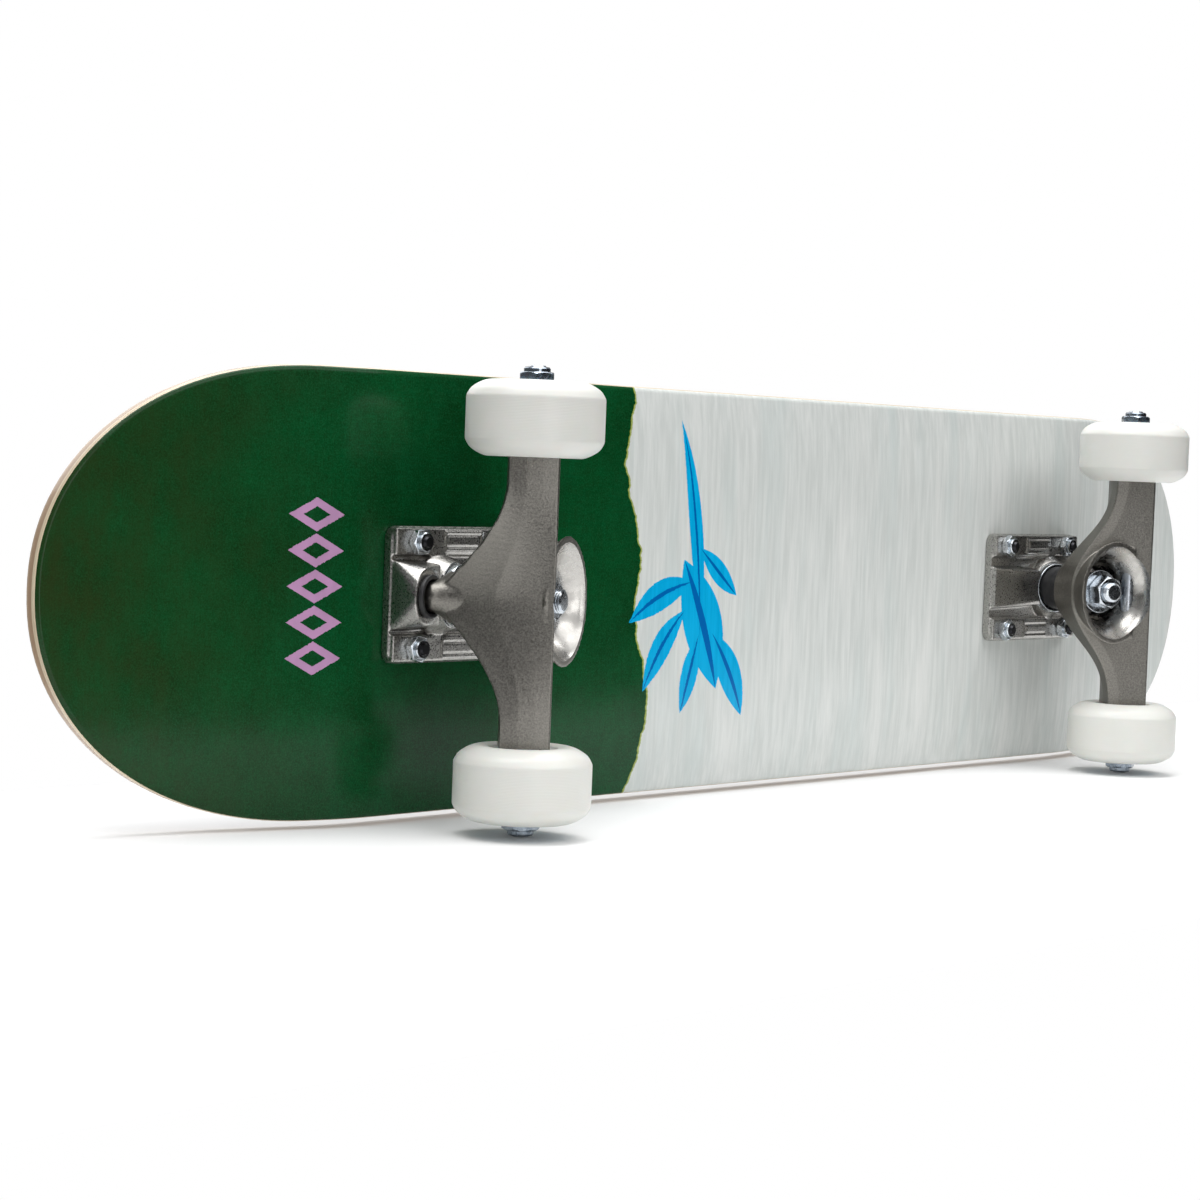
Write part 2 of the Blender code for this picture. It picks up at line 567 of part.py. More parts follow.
def build_wheel(truck, truck_matrix, side):
    place_name = truck + ("_left" if side > 0 else "_right")
    centre = AXLE_CENTRE + Vector((0, side * WHEEL_CENTRE_Y, 0))
    outward = aim(Vector((0, side, 0)), centre)
    place_on_truck(lathe("wheel_" + place_name, wheel_profile(), 36, closed=True),
                   truck_matrix, outward, "wheel_urethane")
    for label, low in (("outer", BEARING_FACE - BEARING_WIDTH), ("inner", -BEARING_FACE)):
        high = low + BEARING_WIDTH
        bearing = lathe(label + "_bearing_" + place_name, [
            (BEARING_RADIUS, high), (BEARING_RADIUS, low), (8.9 * MM, low + 0.4 * MM),
            (BEARING_BORE, low), (BEARING_BORE, high), (8.9 * MM, high - 0.4 * MM)], 20, closed=True)
        place_on_truck(bearing, truck_matrix, outward, "chrome_steel")
    start = BEARING_FACE + 0.3 * MM
    ring = lathe("speed_washer_" + place_name, [
        (6 * MM, start + 0.9 * MM), (6 * MM, start), (BEARING_BORE, start),
        (BEARING_BORE, start + 0.9 * MM)], 20, closed=True)
    place_on_truck(ring, truck_matrix, outward, "zinc")
    nut = hexagon_nut("axle_nut_" + place_name, 12.7 * MM, 5.6 * MM, AXLE_RADIUS + FIT_GAP)
    seat = outward @ Matrix.Translation((0, 0, start + 1.2 * MM))
    aim_tools(nut, seat)
    place_on_truck(nut, truck_matrix, seat, "zinc")


def build_truck(truck, side):
    turn = Matrix.Rotation(pi if side < 0 else 0, 4, "Z")
    truck_matrix = Matrix.Translation((side * TRUCK_CENTRES / 2, 0, DECK_Z)) @ turn
    build_baseplate(truck, truck_matrix)
    build_pivot_cup(truck, truck_matrix)
    build_steering_stack(truck, truck_matrix)
    build_hanger(truck, truck_matrix)
    build_axle(truck, truck_matrix)
    for wheel_side in (-1, 1):
        build_wheel(truck, truck_matrix, wheel_side)


build_deck()
build_deck_hardware()
build_truck("front", -1)
build_truck("rear", 1)
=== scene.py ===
"""Looks of the mini complete skateboard: every visible piece, its materials, the light and the camera.

Row frame in metres: wheels on Z = 0, nose towards -X, tail towards +X. The board is shown lying on
its long edge with the underside to the camera, so the studio floor is an upright plane at +Y.
Truck pieces are drawn in a truck frame: X outward from the board's middle, Z up, origin on the
deck's underside at the middle of the bolt pattern.
"""

from math import cos, exp, pi, radians, sin, tan

import bmesh
import bpy
from mathutils import Matrix, Vector


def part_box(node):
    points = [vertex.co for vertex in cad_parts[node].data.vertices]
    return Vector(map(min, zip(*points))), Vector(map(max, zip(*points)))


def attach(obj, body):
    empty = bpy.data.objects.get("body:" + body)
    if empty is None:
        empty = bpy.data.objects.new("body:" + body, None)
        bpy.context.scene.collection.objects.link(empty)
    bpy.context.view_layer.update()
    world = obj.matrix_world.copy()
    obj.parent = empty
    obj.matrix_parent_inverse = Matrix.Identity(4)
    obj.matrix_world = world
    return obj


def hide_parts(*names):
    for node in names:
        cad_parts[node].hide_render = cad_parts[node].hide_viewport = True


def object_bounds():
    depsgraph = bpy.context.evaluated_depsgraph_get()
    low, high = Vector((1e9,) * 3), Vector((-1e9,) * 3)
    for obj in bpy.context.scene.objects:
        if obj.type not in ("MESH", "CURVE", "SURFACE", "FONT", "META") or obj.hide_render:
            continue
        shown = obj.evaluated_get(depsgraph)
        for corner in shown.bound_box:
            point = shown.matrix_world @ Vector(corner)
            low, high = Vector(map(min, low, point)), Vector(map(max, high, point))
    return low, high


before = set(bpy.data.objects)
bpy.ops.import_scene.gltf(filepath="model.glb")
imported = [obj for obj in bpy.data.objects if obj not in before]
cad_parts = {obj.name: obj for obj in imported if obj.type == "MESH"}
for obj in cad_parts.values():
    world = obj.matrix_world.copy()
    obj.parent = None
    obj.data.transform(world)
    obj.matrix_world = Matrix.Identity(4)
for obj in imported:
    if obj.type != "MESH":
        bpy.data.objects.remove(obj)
cad_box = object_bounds()
MM = 0.001

# ---- driving dimensions -------------------------------------------------------------------------
DECK_LOW, DECK_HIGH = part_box("deck")
WHEEL_LOW, WHEEL_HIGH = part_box("wheel_rear_left")
DECK_WIDTH = DECK_HIGH[1] - DECK_LOW[1]
DECK_THICKNESS = 11 * MM
DECK_Z = DECK_LOW[2]
FLAT_HALF = 248 * MM
KICK_RADIUS = 88 * MM
NOSE_ANGLE, TAIL_ANGLE = radians(16.6), radians(6)
END_REACH = 386.6 * MM
ROUND_LENGTH, ROUND_POWER = 114 * MM, 2.14
CONCAVE_RISE, CONCAVE_START = 3 * MM, 0.55
TRUCK_CENTRES = 418.7 * MM
BOLT_SPAN_X, BOLT_SPAN_Y = 54 * MM, 41.3 * MM
KINGPIN_LEAN = radians(18.5)
KINGPIN_SEAT = Vector((10.5 * MM, 0, -10.5 * MM))
KINGPIN_AXIS = Vector((-sin(KINGPIN_LEAN), 0, -cos(KINGPIN_LEAN)))
RING_CENTRE = KINGPIN_SEAT + KINGPIN_AXIS * 19.75 * MM
PIVOT_MOUTH = Vector((30.2 * MM, 0, -16 * MM))
PIVOT_AXIS = (PIVOT_MOUTH - RING_CENTRE).normalized()
MOUTH_WAY = Vector((cos(radians(75)), 0, sin(radians(75))))   # into the pivot cup's seat
AXLE_CENTRE = Vector((13.1 * MM, 0, -51.8 * MM))
AXLE_HALF = 89.4 * MM
WHEEL_CENTRE_Y = 69.2 * MM
WHEEL_RADIUS = (WHEEL_HIGH[2] - WHEEL_LOW[2]) / 2
WHEEL_HALF = (WHEEL_HIGH[1] - WHEEL_LOW[1]) / 2
BEAM_END = 55.2 * MM
UP, ACROSS = Vector((0, 0, 1)), Vector((0, 1, 0))
MIRROR_WAY = (0.759, 0.050, -0.649)   # the way the camera looks once mirrored in the deck; kept dark


# ---- node helpers -------------------------------------------------------------------------------
def add_node(tree, kind, inputs=None, **settings):
    node = tree.nodes.new(kind)
    for key, value in settings.items():
        setattr(node, key, value)
    for key, value in (inputs or {}).items():
        if isinstance(value, bpy.types.NodeSocket):
            tree.links.new(value, node.inputs[key])
        else:
            node.inputs[key].default_value = value
    return node


def calc(tree, operation, first, second=0.0, third=0.0, clamp=False):
    node = add_node(tree, "ShaderNodeMath", {0: first, 1: second, 2: third}, operation=operation)
    node.use_clamp = clamp
    return node.outputs[0]


def blend(tree, share, first, second, mode="MIX"):
    """Colour mix; first and second are sockets or RGB triples."""
    fixed = {6: first, 7: second}
    inputs = {key: value if isinstance(value, bpy.types.NodeSocket) else (*value, 1)
              for key, value in fixed.items()}
    inputs[0] = share
    return add_node(tree, "ShaderNodeMix", inputs, data_type="RGBA", blend_type=mode).outputs[2]


def ramp(tree, value, low, high, to_low=0.0, to_high=1.0):
    return add_node(tree, "ShaderNodeMapRange", {0: value, 1: low, 2: high, 3: to_low, 4: to_high}).outputs[0]


def grain(tree, coords, scale, detail=4.0, stretch=(1, 1, 1), rough=0.55):
    """Noise value; scale is in cycles per metre and stretch divides it along each axis."""
    mapping = add_node(tree, "ShaderNodeMapping",
                       {"Vector": coords, "Scale": tuple(scale / s for s in stretch)})
    noise = add_node(tree, "ShaderNodeTexNoise", {"Vector": mapping.outputs[0], "Scale": 1.0,
                                                   "Detail": detail, "Roughness": rough})
    return noise.outputs[0]


def start_material(name, colour, metallic=0.0, roughness=0.5, **fixed):
    """New material; fixed holds further values for the shader's own sockets."""
    material = bpy.data.materials.new(name)
    material.use_nodes = True
    tree = material.node_tree
    shader = tree.nodes["Principled BSDF"]
    shader.inputs["Base Color"].default_value = (*colour, 1)
    shader.inputs["Metallic"].default_value = metallic
    shader.inputs["Roughness"].default_value = roughness
    for key, value in fixed.items():
        shader.inputs[key.replace("_", " ")].default_value = value
    coords = add_node(tree, "ShaderNodeTexCoord").outputs["Object"]
    return material, tree, shader, coords


def set_input(tree, shader, key, socket):
    tree.links.new(socket, shader.inputs[key])


def add_bump(tree, shader, height, distance, strength=1.0, key="Normal"):
    bump = add_node(tree, "ShaderNodeBump", {"Height": height, "Distance": distance, "Strength": strength})
    tree.links.new(bump.outputs[0], shader.inputs[key])
    return bump


# ---- metal, rubber and urethane -----------------------------------------------------------------
def cast_material(name, colour, roughness, grit=1.0):
    """Tumbled sand casting: fine pits, soft waves and small bright scuffs."""
    material, tree, shader, coords = start_material(name, colour, 1.0, roughness)
    fine = grain(tree, coords, 1500, 3)
    broad = grain(tree, coords, 90, 4)
    pits = add_node(tree, "ShaderNodeTexVoronoi", {"Vector": coords, "Scale": 900.0}).outputs["Distance"]
    dark = tuple(c * 0.72 for c in colour)
    light = tuple(min(1.0, c * 1.22) for c in colour)
    tone = blend(tree, ramp(tree, fine, 0.35, 0.65), dark, light)
    tone = blend(tree, ramp(tree, broad, 0.3, 0.7, 0.0, 0.35), tone, light)
    set_input(tree, shader, "Base Color", tone)
    set_input(tree, shader, "Roughness", ramp(tree, fine, 0.3, 0.7, roughness - 0.08, roughness + 0.12))
    height = calc(tree, "ADD", fine, calc(tree, "MULTIPLY", pits, 0.6))
    add_bump(tree, shader, height, 0.06 * MM * grit)
    return material


def machined_material(name, colour, roughness, pitch=0.35 * MM):
    """Turned metal with fine rings about local Z."""
    material, tree, shader, coords = start_material(name, colour, 1.0, roughness)
    parts = add_node(tree, "ShaderNodeSeparateXYZ", {0: coords}).outputs
    radius = calc(tree, "SQRT", calc(tree, "ADD", calc(tree, "MULTIPLY", parts[0], parts[0]),
                                     calc(tree, "MULTIPLY", parts[1], parts[1])))
    line = calc(tree, "SINE", calc(tree, "MULTIPLY", calc(tree, "ADD", radius, parts[2]), 2 * pi / pitch))
    soft = grain(tree, coords, 260, 4)
    set_input(tree, shader, "Roughness", ramp(tree, soft, 0.3, 0.7, roughness * 0.7, roughness * 1.4))
    tone = blend(tree, ramp(tree, soft, 0.3, 0.7, 0.0, 0.5), colour, tuple(c * 0.82 for c in colour))
    set_input(tree, shader, "Base Color", tone)
    add_bump(tree, shader, line, 0.004 * MM)
    return material


def zinc_material(name, colour=(0.64, 0.67, 0.70), roughness=0.2):
    """Bright zinc plate, cool in colour, with faint clouding."""
    material, tree, shader, coords = start_material(name, colour, 1.0, roughness)
    cloud = grain(tree, coords, 420, 5)
    set_input(tree, shader, "Base Color", blend(tree, ramp(tree, cloud, 0.35, 0.7), colour,
                                                (colour[0] * 0.78, colour[1] * 0.82, colour[2] * 0.86)))
    set_input(tree, shader, "Roughness", ramp(tree, cloud, 0.3, 0.7, roughness - 0.06, roughness + 0.12))
    add_bump(tree, shader, cloud, 0.02 * MM)
    return material


def rubber_material(name, colour=(0.011, 0.011, 0.012), roughness=0.42):
    """Moulded black urethane with a soft mould texture."""
    material, tree, shader, coords = start_material(name, colour, 0.0, roughness)
    fine = grain(tree, coords, 900, 4)
    set_input(tree, shader, "Base Color", blend(tree, ramp(tree, fine, 0.3, 0.7), colour,
                                                tuple(c * 1.9 for c in colour)))
    set_input(tree, shader, "Roughness", ramp(tree, fine, 0.3, 0.7, roughness - 0.07, roughness + 0.12))
    add_bump(tree, shader, fine, 0.03 * MM)
    return material


def wheel_material(name):
    """Cast urethane, turned on the tread, with a pale printed ring on the outer face (local +Z)."""
    white = (0.74, 0.74, 0.70)
    material, tree, shader, coords = start_material(
        name, white, 0.0, 0.36, Subsurface_Weight=0.1, Subsurface_Scale=0.003)
    parts = add_node(tree, "ShaderNodeSeparateXYZ", {0: coords}).outputs
    radius = calc(tree, "SQRT", calc(tree, "ADD", calc(tree, "MULTIPLY", parts[0], parts[0]),
                                     calc(tree, "MULTIPLY", parts[1], parts[1])))
    on_tread = ramp(tree, radius, WHEEL_RADIUS - 0.5 * MM, WHEEL_RADIUS - 0.2 * MM)
    uneven = grain(tree, coords, 2200, 2, (30, 30, 1))
    lines = calc(tree, "MULTIPLY", on_tread, calc(tree, "ADD", uneven, calc(
        tree, "MULTIPLY", 0.35, calc(tree, "SINE", calc(tree, "MULTIPLY", parts[2], 2 * pi / (0.55 * MM))))))
    cloud = grain(tree, coords, 60, 3)
    tone = blend(tree, ramp(tree, cloud, 0.35, 0.7, 0.0, 0.4), white, (0.69, 0.69, 0.645))
    tone = blend(tree, calc(tree, "MULTIPLY", lines, 0.10), tone, (0.52, 0.52, 0.48))
    near_edge = calc(tree, "LESS_THAN",
                     calc(tree, "ABSOLUTE", calc(tree, "SUBTRACT", radius, 17.4 * MM)), 0.55 * MM)
    dashes = calc(tree, "GREATER_THAN", calc(tree, "SINE", calc(
        tree, "MULTIPLY", calc(tree, "ARCTAN2", parts[1], parts[0]), 12.0)), -0.55)
    band = calc(tree, "LESS_THAN",
                calc(tree, "ABSOLUTE", calc(tree, "SUBTRACT", radius, 15.0 * MM)), 1.3 * MM)
    ink = calc(tree, "MAXIMUM", near_edge, calc(tree, "MULTIPLY", band, dashes))
    ink = calc(tree, "MULTIPLY", ink, calc(tree, "GREATER_THAN", parts[2], WHEEL_HALF - 3 * MM))
    set_input(tree, shader, "Base Color",
              blend(tree, calc(tree, "MULTIPLY", ink, 0.8), tone, (0.24, 0.57, 0.80)))
    set_input(tree, shader, "Roughness", ramp(tree, cloud, 0.3, 0.7, 0.32, 0.44))
    add_bump(tree, shader, lines, 0.03 * MM)
    return material


# ---- wood, print and grit -----------------------------------------------------------------------
def ply_material(name):
    """Seven maple plies seen from the side; the mesh's ply attribute runs 0 to 1 through them."""
    material, tree, shader, coords = start_material(name, (0.72, 0.55, 0.38), 0.0, 0.42, Coat_Weight=0.25)
    height = add_node(tree, "ShaderNodeAttribute", attribute_name="ply").outputs["Fac"]
    layer = calc(tree, "MULTIPLY", height, 7.0)
    index = calc(tree, "FLOOR", layer)
    shade = add_node(tree, "ShaderNodeTexWhiteNoise", {"W": index}, noise_dimensions="1D").outputs[0]
    along = grain(tree, coords, 700, 5, (28, 28, 1))
    cross = grain(tree, coords, 1800, 3)
    tone = blend(tree, shade, (0.56, 0.42, 0.29), (0.42, 0.28, 0.18))
    tone = blend(tree, calc(tree, "LESS_THAN", index, 1.5), tone, (0.74, 0.63, 0.45))
    tone = blend(tree, ramp(tree, along, 0.35, 0.7, 0.0, 0.45), tone, (0.38, 0.26, 0.16))
    turned = calc(tree, "GREATER_THAN", calc(tree, "MODULO", index, 3.0), 1.5)
    tone = blend(tree, calc(tree, "MULTIPLY", turned, ramp(tree, cross, 0.4, 0.65, 0.15, 0.6)), tone,
                 (0.36, 0.23, 0.14))
    edge = calc(tree, "ABSOLUTE", calc(tree, "SUBTRACT", calc(tree, "FRACT", layer), 0.5))
    tone = blend(tree, ramp(tree, edge, 0.45, 0.49, 0.0, 0.55), tone, (0.26, 0.16, 0.09))
    set_input(tree, shader, "Base Color", tone)
    add_bump(tree, shader, along, 0.05 * MM)
    return material


def maple_material(name):
    """Clear-coated maple veneer, its grain along the board."""
    material, tree, shader, coords = start_material(name, (0.70, 0.52, 0.34), 0.0, 0.38, Coat_Weight=0.3)
    figure = grain(tree, coords, 260, 5, (22, 1, 1))
    set_input(tree, shader, "Base Color", blend(tree, ramp(tree, figure, 0.35, 0.68), (0.74, 0.56, 0.38),
                                                (0.58, 0.40, 0.25)))
    add_bump(tree, shader, figure, 0.04 * MM)
    return material


def grip_material(name):
    """Black silicon carbide grit on a flexible backing."""
    material, tree, shader, coords = start_material(name, (0.012, 0.012, 0.013), 0.0, 0.9)
    cells = add_node(tree, "ShaderNodeTexVoronoi", {"Vector": coords, "Scale": 1400.0})
    fine = grain(tree, coords, 2600, 2)
    spark = ramp(tree, cells.outputs["Color"], 0.82, 0.95)
    tone = blend(tree, ramp(tree, fine, 0.3, 0.7), (0.006, 0.006, 0.007), (0.030, 0.030, 0.032))
    set_input(tree, shader, "Base Color",
              blend(tree, calc(tree, "MULTIPLY", spark, 0.35), tone, (0.16, 0.16, 0.17)))
    set_input(tree, shader, "Roughness", ramp(tree, spark, 0.0, 1.0, 0.92, 0.35))
    height = calc(tree, "SUBTRACT", fine, cells.outputs["Distance"])
    add_bump(tree, shader, height, 0.35 * MM)
    return material


def turned_coords(tree, x, y, centre, angle):
    """Coordinates along and across a mark whose middle and direction on the deck are given."""
    dx, dy = calc(tree, "SUBTRACT", x, centre[0]), calc(tree, "SUBTRACT", y, centre[1])
    c, s = cos(radians(angle)), sin(radians(angle))
    along = calc(tree, "ADD", calc(tree, "MULTIPLY", dx, c), calc(tree, "MULTIPLY", dy, s))
    across = calc(tree, "SUBTRACT", calc(tree, "MULTIPLY", dy, c), calc(tree, "MULTIPLY", dx, s))
    return along, across


def leaf(tree, x, y, centre, angle, length, width, bend=0.0):
    """Distance inside a pointed leaf shape, positive inside, in metres; and the same for its rib."""
    along, across = turned_coords(tree, x, y, centre, angle)
    share = calc(tree, "DIVIDE", along, length / 2)
    squared = calc(tree, "MULTIPLY", share, share)
    across = calc(tree, "ABSOLUTE", calc(tree, "SUBTRACT", across, calc(tree, "MULTIPLY", squared, bend)))
    open_part = calc(tree, "MULTIPLY", calc(tree, "SUBTRACT", 1.0, squared), width / 2)
    inside = calc(tree, "SUBTRACT", open_part, across)
    rib = calc(tree, "SUBTRACT", calc(tree, "MULTIPLY", open_part, 0.16), across)
    return inside, rib


# Plain leaves standing in for the print: middle, direction, length, width and bend, in mm.
LEAVES = (
    ((-57, -27), 80, 96, 9, 3.0), ((-50, 14), 66, 62, 26, 2.0), ((-80, 2), 158, 46, 13, -3.0),
    ((-78, 24), 128, 44, 12, -2.5), ((-30, 36), 58, 44, 15, 2.0), ((-58, 36), 108, 36, 11, 0.0),
    ((-40, -8), 38, 34, 10, 0.0))


def print_material(name):
    """Gloss print of the underside: green field, pale streaked field, leaves and a row of rhombi."""
    material, tree, shader, coords = start_material(
        name, (0.0, 0.075, 0.018), 0.0, 0.42, Specular_IOR_Level=0.0, Coat_Weight=0.5, Coat_Roughness=0.2,
        Coat_IOR=1.42)
    parts = add_node(tree, "ShaderNodeSeparateXYZ", {0: coords}).outputs
    ragged = grain(tree, coords, 900, 3)
    shift = calc(tree, "MULTIPLY", calc(tree, "SUBTRACT", ragged, 0.5), 0.9 * MM)
    x, y = calc(tree, "ADD", parts[0], shift), calc(tree, "ADD", parts[1], shift)

    weave = calc(tree, "MULTIPLY", grain(tree, coords, 1500, 2, (12, 1, 1)),
                 grain(tree, coords, 1500, 2, (1, 12, 1)))
    cloud = grain(tree, coords, 26, 5)
    mottle = grain(tree, coords, 110, 6, (1, 2, 1))
    green = blend(tree, ramp(tree, cloud, 0.35, 0.68), (0.0, 0.040, 0.009), (0.0, 0.074, 0.019))
    green = blend(tree, ramp(tree, mottle, 0.45, 0.75, 0.0, 0.5), green, (0.001, 0.082, 0.026))
    green = blend(tree, ramp(tree, weave, 0.12, 0.4, 0.0, 0.5), green, (0.006, 0.026, 0.005))
    speck = grain(tree, coords, 1900, 2, (1, 1.3, 1), 0.8)
    green = blend(tree, ramp(tree, speck, 0.46, 0.66, 0.0, 0.6), green, (0.010, 0.095, 0.030))
    green = blend(tree, ramp(tree, speck, 0.46, 0.30, 0.0, 0.6), green, (0.003, 0.024, 0.004))
    to_nose = ramp(tree, calc(tree, "ADD", x, calc(tree, "MULTIPLY", cloud, 0.10)), -0.215, -0.350)
    green = blend(tree, calc(tree, "MULTIPLY", to_nose, ramp(tree, mottle, 0.3, 0.62, 0.25, 0.8)), green,
                  (0.022, 0.028, 0.005))

    streak = grain(tree, coords, 420, 5, (1, 16, 1), 0.62)
    broad = grain(tree, coords, 60, 4, (1, 7, 1))
    pale = blend(tree, ramp(tree, streak, 0.38, 0.66), (0.60, 0.625, 0.605), (0.70, 0.72, 0.70))
    pale = blend(tree, ramp(tree, broad, 0.50, 0.72, 0.0, 0.45), pale, (0.53, 0.60, 0.585))
    pale = blend(tree, ramp(tree, broad, 0.42, 0.25, 0.0, 0.5), pale, (0.80, 0.80, 0.78))

    wave = calc(tree, "ADD", calc(tree, "MULTIPLY", calc(tree, "SINE", calc(
        tree, "MULTIPLY", calc(tree, "ADD", y, 5 * MM), 2 * pi / (220 * MM))), 6.5 * MM), calc(
        tree, "MULTIPLY", calc(tree, "COSINE", calc(
            tree, "MULTIPLY", calc(tree, "ADD", y, 20 * MM), 2 * pi / (72 * MM))), 3.2 * MM))
    wave = calc(tree, "ADD", wave, calc(tree, "MULTIPLY", calc(tree, "SUBTRACT", grain(
        tree, coords, 90, 4, (9, 1, 9)), 0.5), 9 * MM))
    past = calc(tree, "SUBTRACT", x, calc(tree, "ADD", wave, -96 * MM))
    colour = blend(tree, ramp(tree, past, -0.1 * MM, 0.1 * MM), green, pale)
    rim = calc(tree, "LESS_THAN", calc(tree, "ABSOLUTE", calc(tree, "SUBTRACT", past, 0.2 * MM)), 0.55 * MM)
    colour = blend(tree, calc(tree, "MULTIPLY", rim, 0.85), colour, (0.30, 0.36, 0.045))

    shapes = [leaf(tree, x, y, (c[0] * MM, c[1] * MM), angle, length * MM, width * MM, bend * MM)
              for c, angle, length, width, bend in LEAVES]
    inside = ribs = None
    for body, rib in shapes:
        inside = body if inside is None else calc(tree, "MAXIMUM", inside, body)
        ribs = rib if ribs is None else calc(tree, "MAXIMUM", ribs, rib)
    blue = blend(tree, ramp(tree, streak, 0.35, 0.65), (0.0, 0.345, 0.66), (0.004, 0.42, 0.76))
    colour = blend(tree, ramp(tree, inside, -0.05 * MM, 0.1 * MM), colour, blue)
    dark = calc(tree, "MULTIPLY", ramp(tree, ribs, -0.05 * MM, 0.1 * MM),
                ramp(tree, inside, 0.3 * MM, 0.6 * MM))
    colour = blend(tree, dark, colour, (0.0, 0.115, 0.40))

    step = 13.6 * MM
    row = calc(tree, "ABSOLUTE", calc(tree, "SUBTRACT", calc(tree, "FLOORED_MODULO", calc(
        tree, "ADD", y, 37 * MM), step), step / 2))
    side = calc(tree, "ABSOLUTE", calc(tree, "ADD", x, 279.5 * MM))
    rhombus = calc(tree, "SUBTRACT", 1.0, calc(tree, "ADD", calc(tree, "DIVIDE", row, 6.4 * MM),
                                               calc(tree, "DIVIDE", side, 11.4 * MM)))
    within = calc(tree, "LESS_THAN", calc(tree, "ABSOLUTE", calc(tree, "ADD", y, 3.0 * MM)), 34 * MM)
    hollow = calc(tree, "GREATER_THAN", rhombus, 0.52)
    pink = calc(tree, "MULTIPLY", calc(tree, "MULTIPLY", within, calc(tree, "GREATER_THAN", rhombus, 0.0)),
                calc(tree, "SUBTRACT", 1.0, hollow))
    colour = blend(tree, calc(tree, "MULTIPLY", pink, ramp(tree, mottle, 0.2, 0.6, 0.78, 0.95)), colour,
                   (0.53, 0.29, 0.50))
    set_input(tree, shader, "Base Color", colour)
    set_input(tree, shader, "Roughness", ramp(tree, mottle, 0.3, 0.7, 0.36, 0.5))
    ripple = calc(tree, "ADD", grain(tree, coords, 30, 3), calc(tree, "MULTIPLY", streak, 0.05))
    bump = add_bump(tree, shader, ripple, 0.35 * MM, 1.0, "Coat Normal")
    bump.inputs["Strength"].default_value = 0.6
    return material


# ---- mesh helpers -------------------------------------------------------------------------------
def from_bmesh(work, name, materials, matrix=Matrix(), sharp=35):
    bmesh.ops.recalc_face_normals(work, faces=work.faces)
    mesh = bpy.data.meshes.new(name)
    work.to_mesh(mesh)
    work.free()
    made = bpy.data.objects.new(name, mesh)
    bpy.context.scene.collection.objects.link(made)
    made.matrix_world = matrix
    for material in materials:
        mesh.materials.append(material)
    finish_shading(mesh, sharp)
    return made


def finish_shading(mesh, sharp):
    mesh.shade_smooth()
    mesh.set_sharp_from_angle(angle=radians(sharp))


def aim(direction, origin=Vector((0, 0, 0))):
    turn = UP.rotation_difference(direction)
    return Matrix.Translation(origin) @ turn.to_matrix().to_4x4()


def round_corners(points, steps=4):
    """Profile points (r, z) or (r, z, fillet); each fillet becomes a smooth curve."""
    flat = []
    for i, point in enumerate(points):
        fillet = point[2] if len(point) > 2 else 0
        here = Vector(point[:2])
        if not fillet:
            flat.append(tuple(here))
            continue
        before = (Vector(points[i - 1][:2]) - here)
        after = (Vector(points[(i + 1) % len(points)][:2]) - here)
        start = here + before.normalized() * min(fillet, before.length * 0.49)
        end = here + after.normalized() * min(fillet, after.length * 0.49)
        for step in range(steps + 1):
            t = step / steps
            flat.append(tuple((1 - t) ** 2 * start + 2 * t * (1 - t) * here + t ** 2 * end))
    return flat


def lathe_into(work, profile, steps=72, closed=False, index=0, outline=None):
    """Turn a profile about local Z; outline(angle, r, z) may change a ring's radius."""
    rings = []
    for r, z in profile:
        if r < 1e-7:
            rings.append([work.verts.new((0, 0, z))])
            continue
        ring = []
        for step in range(steps):
            angle = 2 * pi * step / steps
            radius = outline(angle, r, z) if outline else r
            ring.append(work.verts.new((radius * cos(angle), radius * sin(angle), z)))
        rings.append(ring)
    pairs = list(zip(rings, rings[1:])) + ([(rings[-1], rings[0])] if closed else [])
    for upper, lower in pairs:
        for step in range(steps):
            after = (step + 1) % steps
            if len(upper) == 1 and len(lower) == 1:
                continue
            if len(upper) == 1:
                corners = (upper[0], lower[step], lower[after])
            elif len(lower) == 1:
                corners = (upper[step], lower[0], upper[after])
            else:
                corners = (upper[step], lower[step], lower[after], upper[after])
            work.faces.new(corners).material_index = index


def lathe(name, points, material, matrix=Matrix(), steps=72, closed=False, sharp=35, outline=None):
    work = bmesh.new()
    lathe_into(work, round_corners(points), steps, closed, 0, outline)
    return from_bmesh(work, name, [material], matrix, sharp)


def thread(radius, top, bottom, pitch, depth):
    """Profile points of a thread, from the top down."""
    points, z = [], top
    while z - pitch > bottom:
        points += [(radius, z - pitch * 0.12), (radius - depth, z - pitch * 0.5), (radius, z - pitch * 0.88)]
        z -= pitch
    return points


def hexagon(across_flats, height, bore, collar=0.0):
    """Profile and outline for a chamfered nut standing on Z = 0, with an optional round collar on top."""
    half = across_flats / 2
    corner = half / cos(pi / 6)
    top = height - collar
    tall = (corner - half * 0.96) * tan(radians(32))
    levels = [top - tall * share for share in (0, 0.15, 0.3, 0.5, 0.75, 1.0)]
    profile = [(bore, height)]
    if collar:
        profile += [(half * 0.80 - 0.5 * MM, height), (half * 0.80, height - 0.5 * MM),
                    (half * 0.80, top + 0.01 * MM)]
    profile += [(half * 0.96, top)] + [(corner, level) for level in levels[1:]]
    profile += [(corner, level) for level in [top - level for level in reversed(levels[1:])]]
    profile += [(half * 0.96, 0), (bore, 0), (bore - 0.25 * MM, height * 0.5)]

    def outline(angle, radius, z):
        if radius <= half * 0.97:
            return radius
        flat = half / cos((angle + pi / 6) % (pi / 3) - pi / 6)
        slope = 1 / tan(radians(32))
        cone = half * 0.96 + min(top - z, z) * slope
        return min(flat, cone)
    return profile, outline


